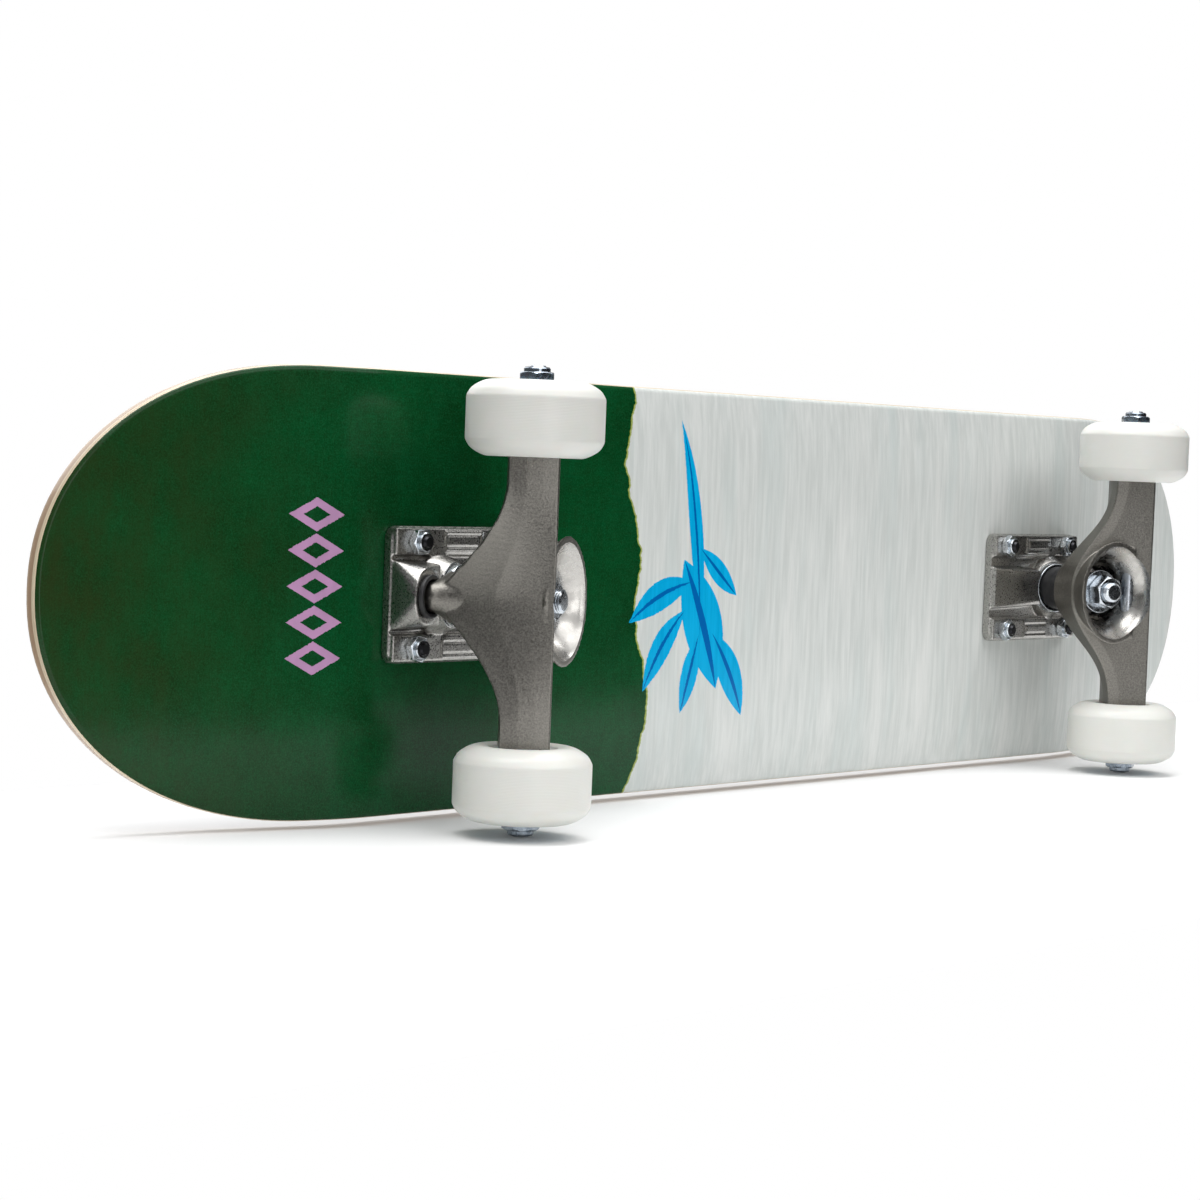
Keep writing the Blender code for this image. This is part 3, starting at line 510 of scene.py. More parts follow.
def nut(name, across_flats, height, bore, material, matrix, collar=0.0, insert=None):
    profile, outline = hexagon(across_flats, height, bore, collar)
    work = bmesh.new()
    lathe_into(work, profile, 96, True, 0, outline)
    if insert:
        low = height - collar
        out = min(bore + 1.2 * MM, across_flats * 0.40 - 0.4 * MM)
        lathe_into(work, [(out, height + 0.05 * MM), (out, low), (bore - 0.2 * MM, low),
                          (bore - 0.2 * MM, height - 0.25 * MM), (bore + 0.1 * MM, height + 0.05 * MM)],
                          48, True, 1)
    return from_bmesh(work, name, [material] + ([insert] if insert else []), matrix, 30)


def piece(made, body, nodes=()):
    """Tie a finished piece to the frame."""
    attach(made, body)
    if nodes:
        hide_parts(*nodes)
    return made


def hull_into(work, points):
    """Add the convex solid around the points."""
    part = bmesh.new()
    for point in points:
        part.verts.new(point)
    result = bmesh.ops.convex_hull(part, input=part.verts)
    spare = [item for item in result["geom_interior"] if isinstance(item, bmesh.types.BMVert)]
    bmesh.ops.delete(part, geom=spare, context="VERTS")
    bmesh.ops.recalc_face_normals(part, faces=part.faces)
    mesh = bpy.data.meshes.new("hull")
    part.to_mesh(mesh)
    part.free()
    work.from_mesh(mesh)
    bpy.data.meshes.remove(mesh)


def turned_into(work, profile, matrix, steps=48, closed=False):
    """Add a turned solid whose local Z lies along the matrix's Z."""
    part = bmesh.new()
    lathe_into(part, profile, steps, closed)
    bmesh.ops.recalc_face_normals(part, faces=part.faces)
    bmesh.ops.transform(part, matrix=matrix, verts=part.verts)
    mesh = bpy.data.meshes.new("turned")
    part.to_mesh(mesh)
    part.free()
    work.from_mesh(mesh)
    bpy.data.meshes.remove(mesh)


def cutter(profile, matrix, index=0, steps=96):
    work = bmesh.new()
    turned_into(work, profile, matrix, steps)
    for face in work.faces:
        face.material_index = index
    mesh = bpy.data.meshes.new("cutter")
    work.to_mesh(mesh)
    work.free()
    made = bpy.data.objects.new("cutter", mesh)
    bpy.context.scene.collection.objects.link(made)
    return made


def casting(name, work, voxel, rounds, cutters, materials, matrix, sharp=40):
    """Fuse the parts in work, round their edges like a casting, then cut crisp machined faces."""
    made = from_bmesh(work, name, materials, Matrix(), 180)
    fuse = made.modifiers.new("fuse", "REMESH")
    fuse.mode = "VOXEL"
    fuse.voxel_size = voxel
    soften = made.modifiers.new("soften", "SMOOTH")
    soften.factor, soften.iterations = 0.5, rounds
    for tool in cutters:
        for material in materials:
            tool.data.materials.append(material)
        cut = made.modifiers.new("cut", "BOOLEAN")
        cut.operation, cut.solver, cut.object = "DIFFERENCE", "EXACT", tool
        cut.material_mode = "INDEX"
    bpy.context.view_layer.update()
    solid = bpy.data.meshes.new_from_object(made.evaluated_get(bpy.context.evaluated_depsgraph_get()))
    made.modifiers.clear()
    made.data = solid
    for tool in cutters:
        bpy.data.objects.remove(tool, do_unlink=True)
    finish_shading(solid, sharp)
    made.matrix_world = matrix
    return made


# ---- deck ---------------------------------------------------------------------------------------
def deck_height(distance, angle):
    """Level reach, rise and slope of the deck's middle at a distance along it."""
    if distance <= FLAT_HALF:
        return distance, 0.0, 0.0
    turned = min((distance - FLAT_HALF) / KICK_RADIUS, angle)
    straight = distance - FLAT_HALF - KICK_RADIUS * turned
    return (FLAT_HALF + KICK_RADIUS * sin(turned) + straight * cos(turned),
            KICK_RADIUS * (1 - cos(turned)) + straight * sin(turned), turned)


def deck_length(angle):
    return FLAT_HALF + KICK_RADIUS * angle + (END_REACH - FLAT_HALF - KICK_RADIUS * sin(angle)) / cos(angle)


def deck_rows(inset, straight=60, rounded=34):
    """Side, distance along the deck and half width of every row from nose to tail."""
    rows = []
    for side, angle in ((-1, NOSE_ANGLE), (1, TAIL_ANGLE)):
        start = deck_length(angle) - ROUND_LENGTH
        half = [(side, start * step / straight, DECK_WIDTH / 2 - inset) for step in range(straight)]
        for step in range(rounded + 1):
            phi = pi / 2 * step / rounded
            out = sin(phi) ** (2 / ROUND_POWER) if step else 0.0
            width = cos(phi) ** (2 / ROUND_POWER) if step < rounded else 0.0
            half.append((side, start + (ROUND_LENGTH - inset) * out, (DECK_WIDTH / 2 - inset) * width))
        rows += half[::-1] if side < 0 else half[1:]
    return rows


def deck_point(side, distance, y, lift):
    angle = NOSE_ANGLE if side < 0 else TAIL_ANGLE
    reach, rise, slope = deck_height(distance, angle)
    beyond = max(0.0, abs(y) / (DECK_WIDTH / 2) - CONCAVE_START) / (1 - CONCAVE_START)
    up = CONCAVE_RISE * beyond ** 2 + lift
    return Vector((side * (reach - up * sin(slope)), y, DECK_Z + rise + up * cos(slope)))


def deck_face(work, inset, lift, across, index):
    """A filled sheet of the deck's outline; returns its rim as a loop of vertices."""
    grid = []
    for side, distance, half in deck_rows(inset):
        if half < 1e-9:
            grid.append([work.verts.new(deck_point(side, distance, 0, lift))])
        else:
            grid.append([
                work.verts.new(deck_point(side, distance, half * sin(pi / 2 * (2 * c / across - 1)), lift))
                         for c in range(across + 1)])
    for near, far in zip(grid, grid[1:]):
        for c in range(across):
            corners = [near[min(c, len(near) - 1)], far[min(c, len(far) - 1)],
                       far[min(c + 1, len(far) - 1)], near[min(c + 1, len(near) - 1)]]
            distinct = [v for i, v in enumerate(corners) if v not in corners[:i]]
            work.faces.new(distinct).material_index = index
    inner = grid[1:-1]
    return [grid[0][0]] + [row[0] for row in inner] + [grid[-1][0]] + [row[-1] for row in reversed(inner)]


def deck_loop(work, inset, lift):
    rows = deck_rows(inset)
    inner = rows[1:-1]
    places = ([(rows[0], 0)] + [(row, -1) for row in inner] +
              [(rows[-1], 0)] + [(row, 1) for row in reversed(inner)])
    return [work.verts.new(deck_point(side, distance, half * sign, lift))
            for (side, distance, half), sign in places]


def join_loops(work, lower, upper, index):
    count = len(lower)
    for i in range(count):
        j = (i + 1) % count
        work.faces.new((lower[i], lower[j], upper[j], upper[i])).material_index = index


def deck_solid(name, inset, low, high, edge, crown, materials, across=20, print_wrap=0):
    """Sheet with rounded edges; materials are underside, edge and top."""
    work = bmesh.new()
    layer = work.verts.layers.float.new("ply")
    steps = 5
    loops = [deck_face(work, inset + edge, low, across, 0)]
    lifts = [low]
    for step in range(1, steps + 1):
        a = pi / 2 * step / steps
        lifts.append(low + edge * (1 - cos(a)))
        loops.append(deck_loop(work, inset + edge * (1 - sin(a)), lifts[-1]))
    for share in (0.25, 0.5, 0.75):
        lifts.append(low + edge + (high - low - edge - crown) * share)
        loops.append(deck_loop(work, inset, lifts[-1]))
    for step in range(steps):
        a = pi / 2 * step / steps
        lifts.append(high - crown * (1 - sin(a)))
        loops.append(deck_loop(work, inset + crown * (1 - cos(a)), lifts[-1]))
    loops.append(deck_face(work, inset + crown, high, across, 2))
    lifts.append(high)
    for number, (lower, upper) in enumerate(zip(loops, loops[1:])):
        join_loops(work, lower, upper, 0 if number < print_wrap else 1)
    for loop, lift in zip(loops, lifts):
        for vertex in loop:
            vertex[layer] = (lift - low) / (high - low)
    return from_bmesh(work, name, materials, Matrix(), 60)


def build_deck(looks):
    deck = deck_solid("deck_board", 0, 0, DECK_THICKNESS, 2 * MM, 4.2 * MM,
                      [looks["print"], looks["ply"], looks["maple"]],
                      print_wrap=3)
    piece(deck, "board", ["deck"])
    grip = deck_solid("grip_sheet", 3.4 * MM, DECK_THICKNESS - 0.05 * MM, DECK_THICKNESS + 1.3 * MM,
                      0.25 * MM, 0.25 * MM,
                      [looks["grip"]] * 3)
    piece(grip, "board", ["grip_tape"])


def build_deck_hardware(looks):
    for truck, side in (("front", -1), ("rear", 1)):
        for number, (out, across) in enumerate(((1, 1), (1, -1), (-1, 1), (-1, -1)), 1):
            name = "%s_%d" % (truck, number)
            place = Matrix.Translation((side * (TRUCK_CENTRES / 2 + out * BOLT_SPAN_X / 2),
                                        across * BOLT_SPAN_Y / 2, 0))
            low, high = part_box("deck_bolt_" + name)
            build_deck_bolt(name, place, low[2], high[2], looks)
            nut_low, nut_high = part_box("deck_nut_" + name)
            flip = place @ Matrix.Translation((0, 0, nut_high[2])) @ Matrix.Rotation(
                radians(180), 4, "X") @ Matrix.Rotation(radians(17 * number), 4, "Z")
            made = nut("lock_nut_" + name, 9.5 * MM, nut_high[2] - nut_low[2], 2.5 * MM, looks["zinc"], flip,
                       1.5 * MM, looks["nylon"])
            piece(made, "board", ["deck_nut_" + name])


def build_deck_bolt(name, place, low, high, looks):
    shank = 2.35 * MM
    head = [(0, high), (4.3 * MM, high), (4.7 * MM, high - 0.35 * MM, 0.2 * MM),
            (shank, high - 2.9 * MM, 0.3 * MM)]
    tail = thread(shank, low + 9 * MM, low + 0.8 * MM, 0.8 * MM, 0.35 * MM)
    work = bmesh.new()
    lathe_into(work,
               round_corners(head + [(shank, low + 9.4 * MM)] + tail + [(shank - 0.5 * MM, low), (0, low)]), 48)
    bolt = from_bmesh(work, "bolt_" + name, [looks["black_steel"]], place, 35)
    for turn in (0, 90):
        slot_work = bmesh.new()
        hull_into(slot_work, [(x * width, y * length, high + z) for z, width, length in (
            (0.5 * MM, 0.62 * MM, 2.5 * MM), (-1.9 * MM, 0.5 * MM, 1.2 * MM))
            for x in (-1, 1) for y in (-1, 1)])
        slot_tool = from_bmesh(slot_work, "slot", [looks["black_steel"]],
                               place @ Matrix.Rotation(radians(turn), 4, "Z"))
        cut = bolt.modifiers.new("slot", "BOOLEAN")
        cut.operation, cut.solver, cut.object = "DIFFERENCE", "EXACT", slot_tool
        bpy.context.view_layer.update()
        solid = bpy.data.meshes.new_from_object(bolt.evaluated_get(bpy.context.evaluated_depsgraph_get()))
        bolt.modifiers.clear()
        bolt.data = solid
        bpy.data.objects.remove(slot_tool, do_unlink=True)
    finish_shading(bolt.data, 35)
    piece(bolt, "board", ["deck_bolt_" + name])


# ---- trucks -------------------------------------------------------------------------------------
def rounded_slab(work, x_low, x_high, half_y, radius, low, high):
    points = []
    for cx, cy, start in ((x_high - radius, half_y - radius, 0), (x_low + radius, half_y - radius, 90),
                          (x_low + radius, radius - half_y, 180), (x_high - radius, radius - half_y, 270)):
        for step in range(9):
            a = radians(start + 90 * step / 8)
            points.append((cx + radius * cos(a), cy + radius * sin(a)))
    hull_into(work, [(x, y, z) for x, y in points for z in (low, high)])


def box_into(work, x_low, x_high, y_low, y_high, z_low, z_high):
    hull_into(work, [(x, y, z) for x in (x_low, x_high) for y in (y_low, y_high) for z in (z_low, z_high)])


def build_baseplate(truck, place, looks):
    """Thin flange with raised bolt rails, a tapering spine, the kingpin boss and the pivot block."""
    work = bmesh.new()
    rounded_slab(work, -37 * MM, 39.5 * MM, 26.5 * MM, 4.5 * MM, -3.9 * MM, -0.2 * MM)
    for side in (-1, 1):
        hull_into(work, [(x * MM, side * y * MM, z * MM) for x in (-36.4, 38.9) for y, z in (
            (14.8, -2), (15.6, -6.2), (25.7, -6.2), (26.3, -2))])
    hull_into(work, [(x * MM, y * s * MM, z * MM) for s in (-1, 1) for x, y, z in (
        (-36.6, 10.6, -2), (-36.3, 9.8, -6.4), (0, 7.0, -2), (0, 6.4, -10.6), (8, 9, -2), (8, 8, -10.6))])
    rim = aim(MOUTH_WAY, PIVOT_MOUTH)
    hull_into(work, [(x * MM, y * s * MM, z * MM) for s in (-1, 1) for x, y, z in (
        (39.0, 13.8, -2), (38.6, 13.2, -5.6), (10, 13.2, -2), (12, 12.2, -7))] + [
        tuple(rim @ Vector((9.8 * MM * cos(radians(15 * i)), 11.2 * MM * sin(radians(15 * i)), 0.4 * MM)))
        for i in range(24)])
    turned_into(work, [(0, 8 * MM), (16.5 * MM, 8 * MM), (13.2 * MM, 0.4 * MM), (12.7 * MM, -0.6 * MM),
                       (0, -0.6 * MM)], aim(-KINGPIN_AXIS, KINGPIN_SEAT))
    for side in (-1, 1):
        emboss_panel(work, side)
    cutters = [
        cutter([(0, 14 * MM), (4.95 * MM, 14 * MM), (4.95 * MM, 0), (13.3 * MM, 0), (13.3 * MM, -16 * MM),
                (0, -16 * MM)], aim(-KINGPIN_AXIS, KINGPIN_SEAT), 1),
        cutter([(0, 5.6 * MM), (6.7 * MM, 5.6 * MM), (6.7 * MM, 2 * MM), (8 * MM, 2 * MM), (8 * MM, 0.2 * MM),
                (13 * MM, 0.2 * MM), (13 * MM, -12 * MM), (0, -12 * MM)], rim, 1),
        cutter([(0, 40 * MM), (90 * MM, 40 * MM), (90 * MM, -0.25 * MM), (0, -0.25 * MM)], Matrix(), 1)]
    made = casting("base_casting_" + truck, work, 0.42 * MM, 4, cutters,
                   [looks["plate_cast"], looks["machined"]], place)
    piece(made, "board", ["baseplate_" + truck])


def emboss_panel(work, side):
    """A raised frame with three plain bars on a bolt rail."""
    x_low, x_high, y_low, y_high = -9, 12, 17.2, 24.6
    line, top = 0.75, -6.75
    bars = [(x_low, x_high, y_low, y_low + line), (x_low, x_high, y_high - line, y_high),
            (x_low, x_low + line, y_low, y_high), (x_high - line, x_high, y_low, y_high)]
    bars += [(x_low + 2.4 + i * 4.3, x_high - 14.2 + i * 4.3, y_low + 2.0, y_high - 2.0) for i in range(4)]
    for a, b, c, d in bars:
        low, high = sorted((side * c, side * d))
        box_into(work, a * MM, b * MM, low * MM, high * MM, top * MM, -5.5 * MM)


def flare_to_pivot(v):
    """Share of the way from the plain beam to the pivot nose at a place across the hanger, in mm."""
    return max(0.0, 1 - ((v * v + 36) ** 0.5 - 6) / 41) ** 1.9


def flare_to_ring(v):
    return exp(-(abs(v) / 30) ** 2.5)


def hanger_section(v):
    """Outline of the hanger's section at v mm across, as (out, up) points in mm."""
    f, g = flare_to_pivot(v), flare_to_ring(v)

    def between(end, middle, share):
        return tuple(e + (m - e) * share for e, m in zip(end, middle))
    return [
        (12.9, -65.0),
        between((17.6, -61.1), (18.4, -54.6), f),
        between((22.4, -56.7), (23.0, -43.4), f),
        between((26.7, -51.6), (28.8, -18.6), f),
        between((20.0, -45.0), (25.5, -19.6), f),
        between((13.1, -38.4), (22.0, -21.5), f),
        between((11.0, -40.0), (18.6, -29.0), max(f, g)),
        between((7.0, -43.6), (5.2, -24.8), g),
        between((4.5, -46.2), (-6.8, -23.4), g),
        between((-0.6, -51.8), (-15.0, -36.9), g),
        between((3.2, -56.0), (-11.4, -41.2), g),
    ]


# Cup round the kingpin nut: distance along the kingpin, radius inside and radius outside, in mm.
CUP = ((15.2, 9.3, 12.6), (24, 10.3, 13.9), (31, 11.4, 14.9), (36, 12.6, 16.1),
       (40, 14.1, 17.5), (44, 16.5, 19.3),
       (47.4, 19.2, 21.2))
CUP_WIDEN = 1.2


def loft_into(work, sections, index=0):
    rings = [[work.verts.new(point) for point in section] for section in sections]
    count = len(rings[0])
    for near, far in zip(rings, rings[1:]):
        for i in range(count):
            j = (i + 1) % count
            work.faces.new((near[i], near[j], far[j], far[i])).material_index = index
    for ring in (rings[0], rings[-1]):
        bmesh.ops.triangulate(work, faces=[work.faces.new(ring)])


def build_hanger(truck, place, looks):
    work = bmesh.new()
    span = 57.0
    stations = [span * (2 * i / 56 - 1) for i in range(57)]
    loft_into(work, [[(x * MM, v * MM, z * MM) for x, z in hanger_section(v)] for v in stations])
    turned_into(work, [(0, 3.0 * MM), (3.4 * MM, 2.4 * MM), (5.3 * MM, 0.6 * MM), (5.9 * MM, -1.8 * MM),
                       (7.3 * MM, -4.8 * MM), (10.4 * MM, -9.5 * MM), (0, -9.5 * MM)],
                aim(PIVOT_AXIS, PIVOT_MOUTH))
    along = aim(KINGPIN_AXIS, KINGPIN_SEAT)
    wide = along @ Matrix.Diagonal((1, CUP_WIDEN, 1, 1))
    room = along @ Matrix.Diagonal((1, 1.18, 1, 1))
    turned_into(work, [(0, 47.4 * MM)] +
                [(outer * MM, s * MM) for s, _, outer in reversed(CUP)] + [(0, 15.2 * MM)],
                wide, 96)
    bowl = round_corners([(0, 75 * MM), (28 * MM, 75 * MM), (19.8 * MM, 51 * MM)] + [
        (inner * MM, s * MM, 2 * MM) for s, inner, _ in reversed(CUP[2:])] + [
        (10.4 * MM, 24 * MM, 0.8 * MM), (0, 24 * MM)], 4)
    cutters = [
        cutter(bowl, wide, 1, 128),
        cutter([(0, 26 * MM), (9.3 * MM, 26 * MM), (9.3 * MM, 10 * MM), (0, 10 * MM)], along, 1),
        cutter([(0, 15.5 * MM), (13.4 * MM, 15.5 * MM), (13.4 * MM, -16 * MM), (0, -16 * MM)], room, 1),
        cutter([(0, 80 * MM), (4.15 * MM, 80 * MM), (4.15 * MM, -80 * MM), (0, -80 * MM)],
               aim(ACROSS, AXLE_CENTRE), 1)]
    for side in (-1, 1):
        cutters.append(cutter([(0, BEAM_END + 20 * MM), (40 * MM, BEAM_END + 20 * MM), (40 * MM, BEAM_END),
                               (0, BEAM_END)], aim(ACROSS * side, AXLE_CENTRE), 1))
    made = casting("hanger_casting_" + truck, work, 0.5 * MM, 5, cutters,
                   [looks["hanger_cast"], looks["polished"]], place)
    piece(made, "hanger_" + truck, ["hanger_" + truck])


def build_steering_stack(truck, place, looks):
    along = place @ aim(KINGPIN_AXIS, KINGPIN_SEAT)
    shaft = 4.7 * MM
    kingpin = lathe("kingpin_bolt_" + truck,
                    [(0, 46.5 * MM), (shaft - 0.9 * MM, 46.5 * MM, 0.3 * MM)] + thread(
        shaft, 46.0 * MM, 34 * MM, 1.06 * MM, 0.5 * MM) + [(shaft, 33 * MM), (shaft, -6 * MM), (0, -6 * MM)],
        looks["zinc"], along, 64)
    piece(kingpin, "board", ["kingpin_" + truck])
    top = nut("kingpin_hex_" + truck, 14.2 * MM, 7.5 * MM, shaft + 0.1 * MM, looks["zinc"],
              along @ Matrix.Translation((0, 0, 36.1 * MM)) @ Matrix.Rotation(radians(12), 4, "Z"))
    piece(top, "board", ["kingpin_nut_" + truck])
    cup = [(12.3, 1.8, 0.6), (12.3, 0.25, 0.5), (4.95, 0.25), (4.95, 1.4),
           (10.6, 1.4, 0.5), (11.3, 3.0, 0.3), (12.0, 3.0, 0.3)]
    low = lathe("cup_washer_bottom_" + truck, [tuple(v * MM for v in p) for p in cup], looks["zinc"], along,
                closed=True)
    piece(low, "board", ["bottom_washer_" + truck])
    cap = [(10.6, -34.0, 0.5), (10.6, -35.8, 0.5), (4.95, -35.8), (4.95, -34.6),
           (8.9, -34.6, 0.5), (9.5, -33.2, 0.3),
           (10.2, -33.2, 0.3)]
    flipped = place @ aim(-KINGPIN_AXIS, KINGPIN_SEAT)
    high = lathe("cup_washer_top_" + truck,
                 [(r * MM, -z * -MM, *[f * MM for f in rest]) for r, z, *rest in cap][::-1],
                 looks["zinc"], flipped, closed=True)
    piece(high, "board", ["top_washer_" + truck])
    for name, radius, start, end in (("bottom", 10.8, 1.6, 15.3), ("top", 9.2, 24.2, 34.3)):
        middle = (start + end) / 2
        profile = [(4.95, end), (radius - 0.3, end, 0.8), (radius, end - 2.2, 0.6),
                   (radius - 0.9, middle, 2.0),
                   (radius, start + 2.2, 0.6), (radius - 0.3, start, 0.8), (4.95, start)]
        soft = lathe("bushing_%s_%s" % (name, truck), [tuple(v * MM for v in p) for p in profile],
                     looks["bushing"], along, closed=True, sharp=50)
        piece(soft, "board", ["%s_bushing_%s" % (name, truck)])
    cup_seat = place @ aim(MOUTH_WAY, PIVOT_MOUTH)
    ring = [(6.6, 5.4), (6.6, 2.1), (7.9, 1.9), (7.9, 0.1), (8.5, -0.1, 0.3),
            (8.5, -1.7, 0.7), (6.8, -1.7, 0.6),
            (6.3, 0.6), (6.1, 5.4)]
    cup = lathe("pivot_bush_" + truck, [tuple(v * MM for v in p) for p in ring],
                looks["bushing"], cup_seat, closed=True)
    piece(cup, "board", ["pivot_cup_" + truck])


def build_axle(truck, place, looks):
    body = "hanger_" + truck
    half, radius = AXLE_HALF, 3.95 * MM
    tips = thread(radius, half - 0.9 * MM, half - 9 * MM, 1.06 * MM, 0.5 * MM)
    profile = [(0, half), (radius - 0.9 * MM, half, 0.3 * MM)] + tips + [(radius, half - 10 * MM)]
    mirrored = [(r, -z, *rest) for r, z, *rest in reversed(profile)]
    axle = lathe("axle_rod_" + truck, profile + mirrored, looks["steel"],
                 place @ aim(ACROSS, AXLE_CENTRE), 64)
    piece(axle, body, ["axle_" + truck])


WHEEL_PROFILE = (        # radius and distance outward from the wheel's middle, with fillets, in mm
    (11.25, 5.1), (11.25, 12.6, 0.3), (12.4, 13.1, 0.4), (13.2, 14.0, 0.5),
    (17.9, 14.65, 1.6), (21.2, 13.6, 2.4),
    (24.9, 11.2, 1.6), (26.5, 8.2, 0.7))


def build_wheel(truck, side, place, looks):
    """Wheel, its two bearings, the speed washers and the axle nut; local +Z points outward."""
    truck_side = "left" if side > 0 else "right"
    where = "%s_%s" % (truck, truck_side)
    body, hanger = "wheel_" + where, "hanger_" + truck
    seat = place @ aim(ACROSS * side, AXLE_CENTRE + ACROSS * side * WHEEL_CENTRE_Y)
    upper = [tuple(v * MM for v in p) for p in WHEEL_PROFILE]
    lower = [(p[0], -p[1], *p[2:]) for p in reversed(upper)]
    core = [(9.0 * MM, -5.1 * MM), (9.0 * MM, 5.1 * MM)]
    tyre = lathe("wheel_body_" + where, upper + lower + core, looks["wheel"], seat, 144, True, 50)
    piece(tyre, body, [body])
    for label, sign in (("outer", 1), ("inner", -1)):
        node = "%s_bearing_%s" % (label, where)
        face = seat @ (Matrix.Rotation(pi, 4, "X") if sign < 0 else Matrix())
        shield = [(11.0, 12.4, 0.4), (11.0, 5.4, 0.4), (4.2, 5.4), (4.2, 12.4, 0.3),
                  (6.0, 12.4, 0.3), (6.15, 12.0),
                  (6.4, 12.0), (6.6, 12.22), (8.9, 12.22), (9.1, 12.0), (9.3, 12.0), (9.45, 12.4, 0.2)]
        bearing = lathe("bearing_%s_%s" % (label, where), [tuple(v * MM for v in p) for p in shield],
                        looks["bearing"], face, 96, True, 30)
        piece(bearing, body, [node])
        ring = [(6.1, 13.5, 0.2), (6.1, 12.7, 0.2), (4.2, 12.7), (4.2, 13.5)] if sign > 0 else [
            (6.0, 13.9, 0.2), (6.0, 12.6, 0.2), (4.2, 12.6), (4.2, 13.9)]
        made = lathe("speed_ring_%s_%s" % (label, where), [tuple(v * MM for v in p) for p in ring],
                     looks["steel"],
                     face, 48, True)
        if sign > 0:
            piece(made, hanger, ["speed_washer_" + where])
        else:
            piece(made, hanger)
    start = 13.9 * MM
    made = nut("axle_hex_" + where, 12.7 * MM, 5.6 * MM, 4.1 * MM, looks["dark_zinc"],
               seat @ Matrix.Translation((0, 0, start)) @ Matrix.Rotation(radians(10), 4, "Z"),
               1.8 * MM, looks["nylon"])
    piece(made, hanger, ["axle_nut_" + where])


def build_truck(truck, side, looks):
    turn = Matrix.Rotation(pi if side < 0 else 0, 4, "Z")
    place = Matrix.Translation((side * TRUCK_CENTRES / 2, 0, DECK_Z)) @ turn
    build_baseplate(truck, place, looks)
    build_hanger(truck, place, looks)
    build_steering_stack(truck, place, looks)
    build_axle(truck, place, looks)
    for wheel_side in (-1, 1):
        build_wheel(truck, wheel_side, place, looks)


# ---- studio -------------------------------------------------------------------------------------
def build_floor():
    """Upright white floor that touches the board's lower edge; seen and lit from the board's side only."""
    level = cad_box[1][1] + 0.2 * MM
    work = bmesh.new()
    bmesh.ops.create_grid(work, x_segments=2, y_segments=2, size=1.0)
    bmesh.ops.scale(work, vec=(0.85, 0.24, 1), verts=work.verts)
    material, tree, shader, coords = start_material("floor_white", (0.9, 0.9, 0.9), 0.0, 0.9)
    shade = grain(tree, coords, 2, 2)
    set_input(tree, shader, "Base Color", blend(tree, shade, (0.80, 0.80, 0.80), (0.82, 0.82, 0.82)))
    shader.inputs["Emission Color"].default_value = (1, 1, 1, 1)
    shader.inputs["Emission Strength"].default_value = 0.05
    back = add_node(tree, "ShaderNodeNewGeometry").outputs["Backfacing"]
    clear = add_node(tree, "ShaderNodeBsdfTransparent").outputs[0]
    mix = add_node(tree, "ShaderNodeMixShader", {0: back, 1: shader.outputs[0], 2: clear})
    tree.links.new(mix.outputs[0], tree.nodes["Material Output"].inputs["Surface"])
    floor = from_bmesh(work, "studio_floor", [material], Matrix.Translation((0, level, 0)) @ Matrix.Rotation(
        radians(90), 4, "X"))


def area_light(name, place, target, size, power, colour=(1, 1, 1)):
    data = bpy.data.lights.new(name, "AREA")
    data.shape, data.size, data.size_y = "RECTANGLE", size[0], size[1]
    data.energy, data.color = power, colour
    light = bpy.data.objects.new(name, data)
    bpy.context.scene.collection.objects.link(light)
    light.matrix_world = Matrix.Translation(place) @ (Vector(place) - Vector(target)).to_track_quat(
        "Z", "Y").to_matrix().to_4x4()


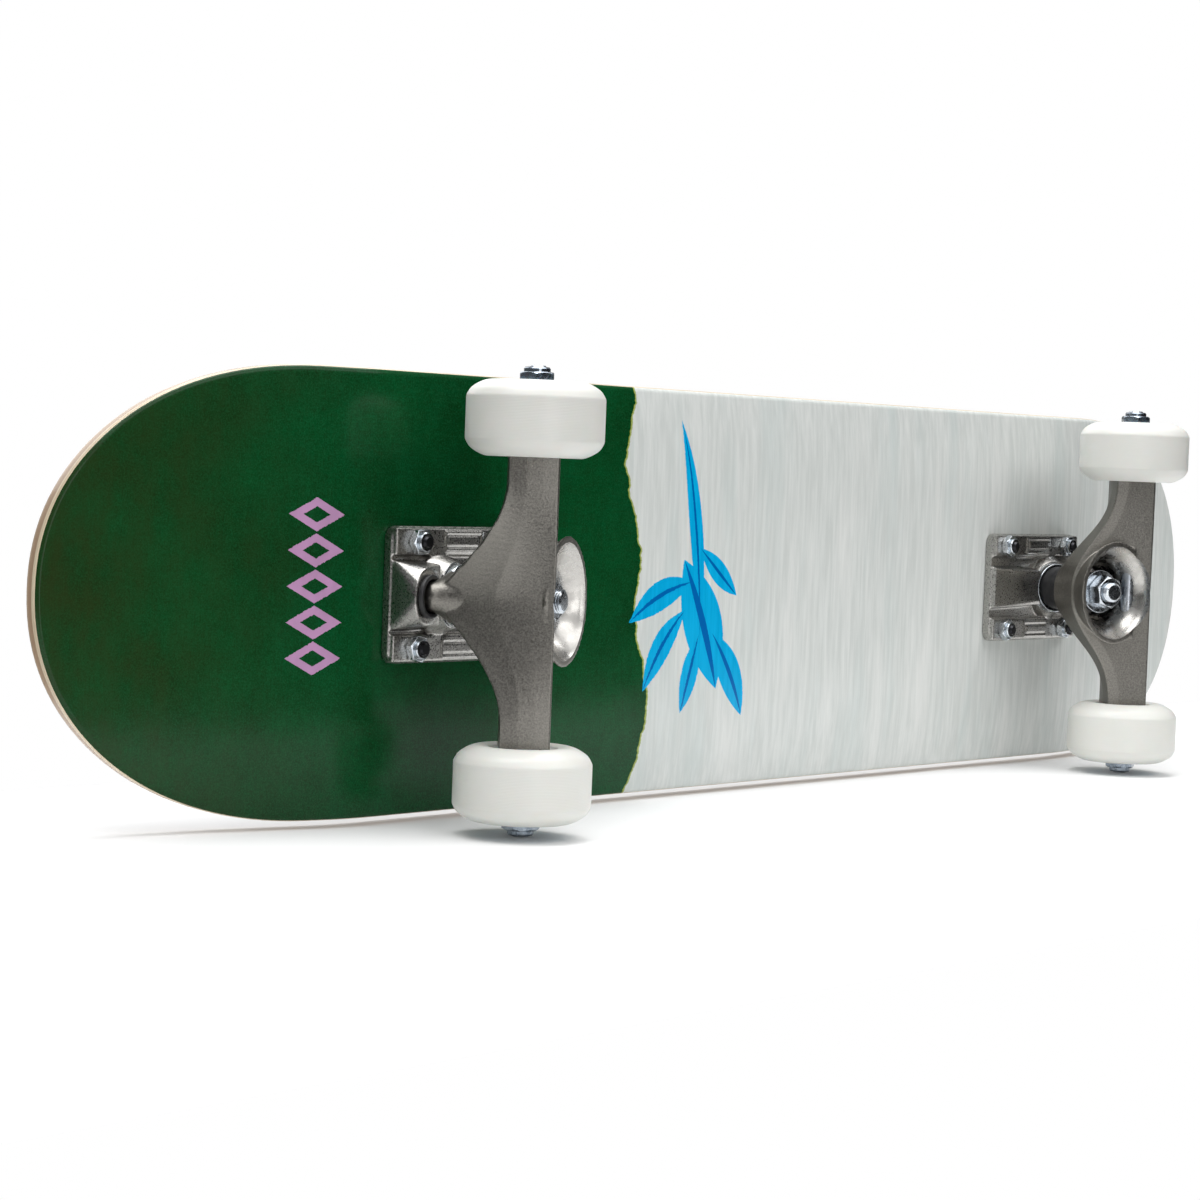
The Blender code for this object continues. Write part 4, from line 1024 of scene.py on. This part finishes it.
def build_light():
    world = bpy.data.worlds.new("studio")
    bpy.context.scene.world = world
    world.use_nodes = True
    tree = world.node_tree
    tree.nodes.clear()
    seen = add_node(tree, "ShaderNodeLightPath").outputs["Is Camera Ray"]
    direction = add_node(tree, "ShaderNodeTexCoord").outputs["Generated"]
    facing = add_node(tree, "ShaderNodeVectorMath",
                      {0: direction, 1: MIRROR_WAY}, operation="DOT_PRODUCT").outputs["Value"]
    height = add_node(tree, "ShaderNodeSeparateXYZ", {0: direction}).outputs[1]
    level = calc(tree, "MAXIMUM", ramp(tree, height, -0.05, -0.8, 0.10, 0.5),
                 ramp(tree, height, 0.3, 0.8, 0.10, 0.5))
    level = calc(tree, "MULTIPLY", level, ramp(tree, facing, 0.4, 0.85, 1.0, 0.05))
    fill = add_node(tree, "ShaderNodeBackground", {"Color": (0.97, 0.985, 1.0, 1), "Strength": level})
    white = add_node(tree, "ShaderNodeBackground", {"Color": (1, 1, 1, 1), "Strength": 1.0})
    mix = add_node(tree, "ShaderNodeMixShader", {0: seen, 1: fill.outputs[0], 2: white.outputs[0]})
    output = add_node(tree, "ShaderNodeOutputWorld")
    tree.links.new(mix.outputs[0], output.inputs["Surface"])
    area_light("key_overhead", (-0.1, -1.6, 0.12), (0, 0, 0.02), (2.4, 1.0), 36)
    area_light("high_front", (0.1, -1.3, -1.2), (0.05, 0, 0.05), (2.4, 1.0), 15)
    area_light("low_front", (-0.55, 0.07, -0.8), (0, 0, 0.05), (0.9, 0.3), 1.8)
    area_light("far_side", (0.5, -1.0, 1.6), (0, 0, 0.1), (1.6, 1.6), 12)


def build_camera():
    data = bpy.data.cameras.new("photo_view")
    data.sensor_width = 36
    data.lens = 87.75
    camera = bpy.data.objects.new("photo_view", data)
    bpy.context.scene.collection.objects.link(camera)
    place, target = Vector((-1.0496, -0.0523, -0.7103)), Vector((-0.1433, 0.0020, 0.0583))
    look = (place - target).normalized()
    up = Vector((0.0101, -0.9982, 0.0585))
    right = up.cross(look).normalized()
    up = look.cross(right)
    camera.matrix_world = Matrix.Translation(place) @ Matrix((right, up, look)).transposed().to_4x4()
    data.clip_start, data.clip_end = 0.01, 50
    bpy.context.scene.camera = camera


looks = {
    "print": print_material("deck_print"),
    "ply": ply_material("maple_ply_edge"),
    "maple": maple_material("maple_veneer"),
    "grip": grip_material("grip_grit"),
    "plate_cast": cast_material("cast_baseplate", (0.42, 0.41, 0.39), 0.30, 0.7),
    "hanger_cast": cast_material("cast_hanger", (0.22, 0.21, 0.19), 0.40),
    "machined": machined_material("machined_aluminium", (0.62, 0.61, 0.59), 0.25),
    "polished": machined_material("polished_aluminium", (0.50, 0.485, 0.46), 0.26, 0.5 * MM),
    "zinc": zinc_material("zinc_plate"),
    "dark_zinc": zinc_material("zinc_plate_dark", (0.34, 0.38, 0.43), 0.22),
    "steel": zinc_material("plain_steel", (0.50, 0.52, 0.55), 0.26),
    "black_steel": zinc_material("black_oxide_steel", (0.035, 0.035, 0.038), 0.35),
    "bearing": machined_material("bearing_steel", (0.70, 0.71, 0.72), 0.2, 0.3 * MM),
    "nylon": rubber_material("nylon_insert", (0.006, 0.006, 0.007), 0.3),
    "bushing": rubber_material("bushing_urethane"),
    "wheel": wheel_material("wheel_urethane"),
}
bpy.context.scene.view_settings.view_transform = "Standard"
build_deck(looks)
build_deck_hardware(looks)
build_truck("front", -1, looks)
build_truck("rear", 1, looks)
build_floor()
build_light()
build_camera()
